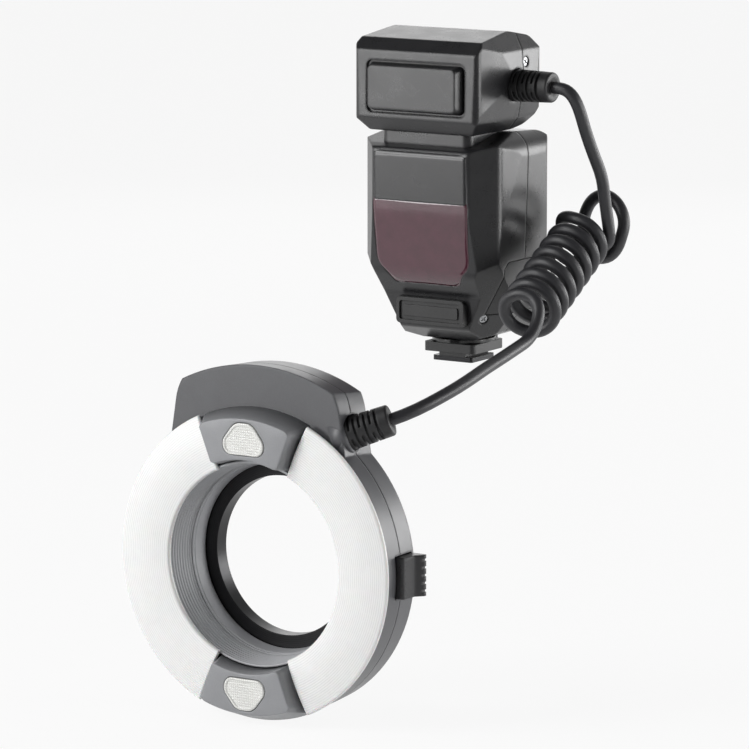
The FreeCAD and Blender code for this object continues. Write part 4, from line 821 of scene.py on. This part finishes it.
@dataclass
class FrontPlate:
    """Thin plate on the body's front, which leans with it: the bare field or the dark red window."""

    name: str
    node: str
    slot: str
    finish: Finish
    corners: tuple[Point, ...]
    centre_z: float
    proud: float = 0.3
    chamfer: float = 0.9
    arc_share: float = 0.8
    sink: float = 1.2
    skirt: float = 0.15
    start_depth: float = 0.1
    top_drop: float = 0.0
    drop_height: float = 3.5
    around: int = 360
    rings: int = 36

    def front_y(self, z: Array) -> Array:
        """Front plane of the body over the height: the sum of its slope, which changes with the height.

        Args:
            z: heights.

        Returns:
            Depth of the front at each height.
        """
        levels = np.linspace(LEAN_HEIGHTS[0], LEAN_HEIGHTS[-1], 341)
        slope = np.interp(levels, LEAN_HEIGHTS, LEAN_SLOPES)
        rise = np.concatenate([[0.0], np.cumsum((slope[1:] + slope[:-1]) / 2 * np.diff(levels))])
        return np.interp(z, levels, rise - np.interp(BODY_FRONT_Z, levels, rise) + BODY_FRONT_Y)

    def build(self) -> Object:
        """Make the plate: its outline shrunk towards its centre in steps, over the body's front plane.

        The outermost ring lies sunk into the body and the next ones rise along an arc over the chamfer.
        The face inside them is proud of the body and falls back by the top drop near its top edge.

        Returns:
            The piece.
        """
        centre = np.array([0.0, self.centre_z])
        angles, way = bearings(self.around)
        reach = polar_reach(rounded(mirrored(self.corners)), centre, angles)
        quarter = np.linspace(0, np.pi / 2, 6)
        inset = np.concatenate([[0.0, 0.0], self.chamfer * np.sin(quarter) * self.arc_share])
        arc = self.proud * (1 - np.cos(quarter)) * self.arc_share - self.start_depth
        inner = np.linspace(0.97, 0.0, self.rings)
        rings = np.concatenate([np.maximum(reach[None] - inset[:, None], 0),
                                (reach - inset[-1])[None] * inner[:, None]])
        raised = np.concatenate([[-self.sink, -self.skirt], arc, np.full(self.rings, self.proud)])
        flat = centre + way[None] * rings[..., None]
        from_drop = flat[..., 1] - (self.corners[0][1] - self.drop_height)
        fall = self.top_drop * smooth_step(from_drop / self.drop_height) ** 2
        y = self.front_y(flat[..., 1]) - raised[:, None] + fall
        grid = np.stack([flat[..., 0], y, flat[..., 1]], axis=-1)
        piece = surface(self.name, grid, self.finish, caps=False)
        return keep(piece, HOUSING, self.slot, self.node)


# Ring head


@dataclass
class Diffuser:
    """Opal cover of one half of the ring, moulded with fine concentric ridges."""

    name: str
    node: str
    start_deg: float
    sweep_deg: float = 132.0
    inner: float = 39.0
    outer: float = 61.5
    crown: float = 0.9
    wall: float = 1.5
    ridge_pitch: float = 0.95
    ridge_height: float = 0.03
    ridge_least: float = 0.2
    ridge_at_ends: float = 0.9
    ridge_fade_deg: float = 13.0
    rim_round: float = 1.0
    back_inset: float = 0.3
    columns: int = 181
    rows: int = 168

    def build(self) -> Object:
        """Make the cover: a profile over the radius carried round the lens axis.

        The front rises as a parabola by the crown and rounds off at both rims; cosine ridges over the
        radius stand highest near the cover's two ends.

        Returns:
            The piece.
        """
        angle = np.radians(self.start_deg + np.linspace(0, self.sweep_deg, self.columns))
        radius = np.linspace(self.inner, self.outer, self.rows)
        middle, half = (self.inner + self.outer) / 2, (self.outer - self.inner) / 2
        rim = np.clip(half - np.abs(radius - middle), 0, self.rim_round)
        round_off = self.rim_round - np.sqrt(self.rim_round ** 2 - (self.rim_round - rim) ** 2)
        front = -self.crown * (1 - ((radius - middle) / half) ** 2) + round_off
        a, r = np.meshgrid(angle, radius, indexing="ij")
        from_end = np.degrees(np.minimum(a - angle[0], angle[-1] - a))
        strength = self.ridge_least + self.ridge_at_ends * np.exp(-from_end / self.ridge_fade_deg)
        strength = strength * smooth_step(rim / self.rim_round)[None, :]
        ridges = self.ridge_height * strength * np.cos(2 * np.pi * r / self.ridge_pitch)
        top = ring_points(r, np.degrees(a), front[None, :] - ridges)
        ab, rb = np.meshgrid(angle, np.linspace(self.outer - self.back_inset, self.inner, 12), indexing="ij")
        back = ring_points(rb, np.degrees(ab), np.full_like(rb, self.wall))
        piece = surface(self.name, np.concatenate([top, back], axis=1), OPAL_DIFFUSER)
        return keep(piece, HOUSING, "white_diffuser", self.node)


@dataclass
class LampHead:
    """Raised lamp block between the diffusers with its fluted lens."""

    name: str
    turned: bool
    inner: float = 41.6
    outer: float = 58.0
    half_angle_deg: float = 21.3
    face_depth: float = -6.0
    face_corner: float = 1.1
    base_inner: float = 40.6
    base_outer: float = 61.29
    base_half_angle_deg: float = 23.6
    base_depth: float = 3.6
    base_corner: float = 0.2
    corner_from: float = 0.88
    edge_round: float = 0.7
    lens_half: Point = (3.9, 10.0, 8.2)
    lens_radii: Point = (56.3, 48.5, 43.6)
    lens_corners: Point = (5.5, 4.4, 3.6)
    lens_gap: float = 0.15
    lens_inset: float = 0.1
    opening_edge: float = 0.75
    opening_round: float = 0.3
    opening_depth: float = 2.2
    lens_proud: float = 0.4
    lens_wall: float = 1.8
    lens_rim: float = 0.5
    smooth_rim: float = 1.0
    flute_ease: float = 0.3
    flute_sink: float = 0.35
    flute_pitch: float = 1.0
    flute_height: float = 0.2
    around: int = 288
    rows: int = 74

    def centre(self) -> Array:
        """Point in (x, radius) that every outline is seen from."""
        return np.array([0.0, (self.lens_radii[0] + self.lens_radii[2]) / 2])

    def lens_outline(self) -> Array:
        """Rounded outline of the lens in (x, radius), wide side towards the bore."""
        return rounded(mirrored(list(zip(self.lens_half, self.lens_radii, self.lens_corners))))

    def sector(self, inner: float, outer: float, half_deg: float, corner: float) -> Array:
        """Rounded sector outline in (x, radius): two arcs about the lens axis and two radial sides.

        Args:
            inner: radius of the inner arc.
            outer: radius of the outer arc.
            half_deg: half of its angle.
            corner: how far the corners are drawn in.

        Returns:
            Points of the outline.
        """
        across = np.linspace(-1, 1, 61)
        drawn = corner * np.clip((np.abs(across) - self.corner_from) / (1 - self.corner_from), 0, 1) ** 2
        angle = math.radians(half_deg) * across
        way = np.stack([np.sin(angle), np.cos(angle)], axis=1)
        return np.vstack([way * (outer - drawn)[:, None], (way * (inner + drawn)[:, None])[::-1]])

    def place(self, flat: Array, depth: Array) -> Array:
        """Points of the ring head from flat (x, radius) points and depths, turned for the lower lamp.

        Args:
            flat: points whose last axis is x, radius.
            depth: distance behind the ring's front plane.

        Returns:
            Points whose last axis is x, y, z.
        """
        sign = -1.0 if self.turned else 1.0
        x, z = sign * flat[..., 0], LENS_AXIS_Z + sign * flat[..., 1]
        return np.stack([x, RING_FRONT_Y + depth, z], axis=-1)

    def rings(self, rows: Sequence[tuple[Array, float, float]]) -> Array:
        """Grid of closed outlines, each grown by a distance and set at a depth.

        Args:
            rows: for each ring its outline, growth and depth.

        Returns:
            Grid of points.
        """
        centre, (angles, way) = self.centre(), bearings(self.around)
        return np.stack([self.place(centre + way * (polar_reach(outline, centre, angles) + growth)[:, None],
                                    np.full(self.around, depth)) for outline, growth, depth in rows])

    def block(self) -> Object:
        """Make the block: the base outline lofted to the face, rounded edges, and the lens opening.

        Returns:
            The piece.
        """
        base = self.sector(self.base_inner, self.base_outer, self.base_half_angle_deg, self.base_corner)
        face = self.sector(self.inner, self.outer, self.half_angle_deg, self.face_corner)
        lens, r, small, top = self.lens_outline(), self.edge_round, self.opening_round, self.face_depth
        quarter = np.linspace(0, np.pi / 2, 7)
        rows = [(base, 0.0, self.base_depth)]
        rows += [(face, -r * (1 - math.cos(q)), top + r * (1 - math.sin(q))) for q in quarter]
        rows += [(lens, self.opening_edge, top)]
        rows += [(lens, self.lens_gap + small * (1 - math.sin(q)), top + small * (1 - math.cos(q)))
                 for q in quarter]
        rows += [(lens, self.lens_gap, top + self.opening_depth)]
        piece = surface(self.name + "_lamp_housing", self.rings(rows), LAMP_ABS)
        return keep(piece, HOUSING, "charcoal_abs", self.name + "_lamp_block")

    def lens(self) -> Object:
        """Make the lens: its outline shrunk towards the centre, with square pyramids inside a smooth rim.

        The pyramids' height is the flute height times the lesser of two triangle waves, over x and over
        the radius; it fades out at the rim, which rounds over to the side.

        Returns:
            The piece.
        """
        centre, (angles, way) = self.centre(), bearings(self.around)
        reach = polar_reach(self.lens_outline(), centre, angles) - self.lens_inset
        share = np.linspace(0.0, 1.0, self.rows)[:, None]
        flat = centre + way[None] * (reach[None] * share)[..., None]
        waves = np.abs((flat / self.flute_pitch) % 1 - 0.5) * 2
        inset = reach[None] * (1 - share)
        fluted = smooth_step((inset - self.smooth_rim) / self.flute_ease)
        rim = np.sqrt(1 - (1 - np.clip(inset / self.lens_rim, 0, 1)) ** 2)
        front = self.face_depth - self.lens_proud * rim + self.flute_sink * fluted
        top = self.place(flat, front - self.flute_height * fluted * waves.min(axis=-1))
        rear = np.full((1, self.around), self.face_depth + self.lens_wall)
        side = self.place(flat[-1:], rear)
        back = self.place(np.broadcast_to(centre, (1, self.around, 2)), rear)
        piece = surface(self.name + "_fluted_lens", np.concatenate([top, side, back]), FLUTED_LENS,
                        caps=False)
        return keep(piece, HOUSING, "clear_lens", self.name + "_lamp_lens")


@dataclass
class BoreSleeve:
    """Sleeve in the ring's bore: fine grooves at its front, smooth and drawn in towards the rear."""

    front_radius: float = 39.2
    rear_radius: float = 36.6
    wall: float = 1.3
    front_depth: float = 1.6
    rear_depth: float = 21.8
    shoulder_depths: tuple[float, float] = (11.4, 12.6)
    lip_half: float = 0.62
    lip_depth: float = 0.6
    grooves: int = 10
    groove_depth: float = 0.6
    grooved_share: float = 0.72
    tooth_rise: float = 0.35
    rows: int = 150
    around: int = 256

    def build(self) -> Object:
        """Make the sleeve: a closed profile of radius over depth, turned about the lens axis.

        The bore's radius falls straight from front to rear. Over the front part a saw-tooth of the
        groove depth is added, and the front rim is a half round.

        Returns:
            The piece.
        """
        lip_end = self.front_depth + self.lip_depth
        depth = np.linspace(lip_end, self.rear_depth, self.rows)
        share = (depth - self.front_depth) / (self.rear_depth - self.front_depth)
        straight = self.front_radius + (self.rear_radius - self.front_radius) * share
        phase = share / self.grooved_share * self.grooves
        left = 1 - phase % 1
        tooth = np.where(phase < self.grooves, smooth_step(left / self.tooth_rise) - left, 0.0)
        inside = straight + self.groove_depth * tooth
        turn = np.linspace(0, np.pi, 9)[1:-1]
        radius = np.concatenate([self.front_radius + self.lip_half * (1 + np.cos(turn)),
                                 [self.front_radius + self.wall] * 2, [self.rear_radius + self.wall] * 2,
                                 inside[::-1]])
        deep = np.concatenate([lip_end - self.lip_depth * np.sin(turn), [lip_end + self.lip_depth],
                               self.shoulder_depths, [self.rear_depth], depth[::-1]])
        angle = np.linspace(0, 360, self.around, endpoint=False)
        grid = ring_points(radius[None, :], angle[:, None], deep[None, :])
        # The sleeve's mid grey is painted light on black ABS
        piece = surface("grooved_sleeve", grid, SLEEVE_ABS_PAINTED_LIGHT, wrap_rows=True, caps=False)
        return keep(piece, HOUSING, "black_abs", "bore_sleeve")


@dataclass
class RingHead:
    """The ring head's own pieces over its construction."""

    diffusers: tuple[Diffuser, ...] = (Diffuser("right_opal_cover", "right_diffuser", 24.0),
                                       Diffuser("left_opal_cover", "left_diffuser", 204.0))
    lamps: tuple[LampHead, ...] = (LampHead("upper", False), LampHead("lower", True))
    sleeve: BoreSleeve = field(default_factory=BoreSleeve)

    def build(self) -> None:
        """Make every piece of the ring head."""
        for diffuser in self.diffusers:
            diffuser.build()
        for lamp in self.lamps:
            lamp.block()
            lamp.lens()
        self.sleeve.build()


# Studio


@dataclass(frozen=True)
class Softbox:
    """Soft rectangular lamp that faces the object: place, size and aim in metres, power in watts."""

    name: str
    place: Point
    size: tuple[float, float]
    power: float
    aim: Point = (0.0, -0.07, 0.02)

    def build(self) -> None:
        """Set up the lamp."""
        data = bpy.data.lights.new(self.name, "AREA")
        data.shape = "RECTANGLE"
        data.size, data.size_y = self.size
        data.energy = self.power
        lamp = linked(self.name, data)
        lamp.location = self.place
        way = Vector(self.aim) - Vector(self.place)
        lamp.rotation_euler = way.to_track_quat("-Z", "Y").to_euler()


@dataclass
class Studio:
    """Pale floor, soft lights and the camera of the photograph."""

    azimuth: float = 32.349
    elevation: float = 9.306
    focal_px: float = 5000.0
    frame_px: float = 749.0
    depth: float = 1922.64
    centre_px: tuple[float, float] = (252.217, 565.102)
    sensor: float = 36.0
    clip_m: tuple[float, float] = (0.05, 20.0)
    floor_z: float = -121.4
    floor_m: float = 4.0
    bend_m: float = 0.6
    backdrop_m: float = 2.8
    # Strength of the surround at the horizon, overhead and on the camera's side
    horizon: float = 1.0
    ceiling: float = 0.1
    camera_side: float = 0.12
    # Heights of a direction between which the horizon turns into the ceiling
    ceiling_heights: tuple[float, float] = (0.12, 0.62)
    # Ways towards the camera between which reflections dim: share of a direction, and metres of floor
    surround_fade: tuple[float, float] = (0.6, 0.92)
    floor_fade_m: tuple[float, float] = (0.1, 0.7)
    # Share of the floor that is plain white, so that the rest keeps the shadow
    white_share: float = 0.9
    softboxes: tuple[Softbox, ...] = (
        Softbox("key_softbox", (-0.75, -1.15, 0.85), (0.7, 0.6), 10.0),
        Softbox("fill_softbox", (-0.85, -1.2, 0.16), (0.5, 0.5), 5.5),
        Softbox("side_softbox", (0.8, 1.25, 0.12), (0.8, 0.5), 8.0),
        Softbox("right_softbox", (1.2, 0.35, 0.1), (0.5, 0.5), 6.0),
        Softbox("back_softbox", (-0.7, 1.25, 0.42), (0.9, 0.5), 2.0))

    def camera(self) -> None:
        """Camera whose axes follow azimuth and elevation; the ring's centre lies at its known pixel."""
        a, e = math.radians(self.azimuth), math.radians(self.elevation)
        back = np.array([math.sin(a) * math.cos(e), -math.cos(a) * math.cos(e), math.sin(e)])
        right = np.array([math.cos(a), math.sin(a), 0.0])
        up = np.cross(back, right)
        aside, below = ((c - self.frame_px / 2) / self.focal_px * self.depth for c in self.centre_px)
        place = np.array([0.0, RING_FRONT_Y, LENS_AXIS_Z]) + back * self.depth - right * aside + up * below
        data = bpy.data.cameras.new("camera")
        data.sensor_width = self.sensor
        data.lens = self.sensor * self.focal_px / self.frame_px
        data.clip_start, data.clip_end = self.clip_m
        camera = linked("camera", data)
        turn = Matrix((right, up, back)).transposed().to_4x4()
        camera.matrix_world = Matrix.Translation(Vector(place * MM)) @ turn
        bpy.context.scene.camera = camera

    def camera_fade(self, tree: NodeTree, place: NodeSocket, start: float, stop: float) -> NodeSocket:
        """Factor that falls to the camera side's strength towards the photograph's viewpoint.

        Args:
            tree: node tree of the floor or the world.
            place: position or direction.
            start: way towards the viewpoint at which the fall begins.
            stop: way at which it ends.

        Returns:
            Socket with the factor.
        """
        turn = math.radians(self.azimuth)
        towards = add_node(tree, "VectorMath", {0: place, 1: (math.sin(turn), -math.cos(turn), 0.0)},
                           operation="DOT_PRODUCT")
        near = add_node(tree, "MapRange", {"Value": towards.outputs["Value"], "From Min": start,
                                           "From Max": stop, "To Min": 1.0, "To Max": self.camera_side},
                        interpolation_type="SMOOTHSTEP")
        return near.outputs["Result"]

    def pale(self, name: str) -> Material:
        """Pale material that shows white to the camera, and in reflections, and keeps its shadow.

        Args:
            name: material name.

        Returns:
            The material.
        """
        material = bpy.data.materials.new(name)
        tree = empty_tree(material)
        place = add_node(tree, "TexCoord").outputs["Object"]
        noise = add_node(tree, "TexNoise", {"Vector": place, "Scale": 40.0, "Detail": 3.0})
        tint = add_node(tree, "Mix", {0: noise.outputs["Fac"], 6: linear("f2f2f2"), 7: linear("f6f6f6")},
                        data_type="RGBA")
        matt = add_node(tree, "BsdfPrincipled", {"Base Color": tint.outputs[2], "Roughness": 0.9})
        white = add_node(tree, "Emission", {"Color": linear("ffffff"), "Strength": 1.0})
        path = add_node(tree, "LightPath").outputs
        mirror = combine(tree, "MAXIMUM", path["Is Glossy Ray"], path["Is Transmission Ray"])
        dimmed = combine(tree, "MULTIPLY", mirror, self.camera_fade(tree, place, *self.floor_fade_m))
        seen = combine(tree, "MAXIMUM", path["Is Camera Ray"], dimmed)
        mixed = add_node(tree, "MixShader", {0: combine(tree, "MULTIPLY", seen, self.white_share),
                                             1: matt.outputs["BSDF"], 2: white.outputs["Emission"]})
        add_node(tree, "OutputMaterial", {"Surface": mixed.outputs["Shader"]})
        return material

    def floor(self) -> None:
        """Floor that bends up into a backdrop: straight, a quarter circle, straight."""
        t = np.linspace(0, np.pi / 2, 24)
        y = np.concatenate([[-self.floor_m], self.backdrop_m + self.bend_m * np.sin(t),
                            [self.backdrop_m + self.bend_m]])
        z = np.concatenate([[0.0], self.bend_m * (1 - np.cos(t)), [self.floor_m]]) + self.floor_z * MM
        x, y, z = np.broadcast_arrays(np.linspace(-self.floor_m, self.floor_m, 3), y[:, None], z[:, None])
        turn = math.radians(self.azimuth)
        spun = np.stack([x * math.cos(turn) - y * math.sin(turn), x * math.sin(turn) + y * math.cos(turn), z],
                        axis=-1)
        floor = linked("floor", smooth_mesh("floor", spun.reshape(-1, 3), grid_faces(*x.shape, False, False)))
        floor.data.materials.append(self.pale("pale_floor"))

    def world(self) -> None:
        """White surround at the horizon with a dark ceiling, so that edges turned upwards stay dark."""
        world = bpy.data.worlds.new("studio")
        tree = empty_tree(world)
        path = add_node(tree, "LightPath").outputs
        place = add_node(tree, "TexCoord").outputs["Generated"]
        height = add_node(tree, "SeparateXYZ", {0: place})
        ceiling = add_node(tree, "MapRange", {
            "Value": height.outputs["Z"], "From Min": self.ceiling_heights[0],
            "From Max": self.ceiling_heights[1], "To Min": self.horizon, "To Max": self.ceiling},
            interpolation_type="SMOOTHSTEP")
        fade = self.camera_fade(tree, place, *self.surround_fade)
        around = combine(tree, "MULTIPLY", ceiling.outputs["Result"], fade)
        seen = combine(tree, "MAXIMUM", path["Is Camera Ray"], path["Is Transmission Ray"])
        light = add_node(tree, "Background", {"Color": linear("ffffff"),
                                              "Strength": combine(tree, "MAXIMUM", seen, around)})
        add_node(tree, "OutputWorld", {"Surface": light.outputs["Background"]})
        bpy.context.scene.world = world

    def build(self) -> None:
        """Set up the whole studio."""
        self.camera()
        self.world()
        self.floor()
        for softbox in self.softboxes:
            softbox.build()
        bpy.context.scene.view_settings.view_transform = "Standard"


def dress_nodes(frame: dict) -> None:
    """Give every construction node its finish.
    """
    for name, node in frame["nodes"].items():
        if name in NODE_FINISH:
            dress(node, NODE_FINISH[name])


def main() -> None:
    """Build the studio and every piece, in order."""
    logging.basicConfig(level=logging.INFO, format="%(message)s")
    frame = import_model()
    Studio().build()
    CurlyCord().build()
    dress_nodes(frame)
    StrainRelief("upper_boot", "upper_strain_relief", (31.0, -10.0, 114.6), (1.0, 0.0, 0.0), 16.5).build()
    StrainRelief("lower_boot", "lower_strain_relief", GLAND_BASE, GLAND_AXIS, 17.0).build()
    GlandCollar().build()
    FrontPlate("front_field", "front_panel", "charcoal_abs", FIELD_ABS,
               ((21.7, 89.0, 1.2), (21.7, 67.7, 0.3)), 78.5, proud=0.4, chamfer=0.3, top_drop=1.2).build()
    FrontPlate("dark_red_window", "red_window", "red_filter", RED_ACRYLIC,
               ((22.6, 69.3, 0.6), (22.5, 42.4, 8.0), (14.6, 33.4, 6.0)), 51.0, chamfer=1.3).build()
    RingHead().build()


if __name__ == "__main__":
    main()
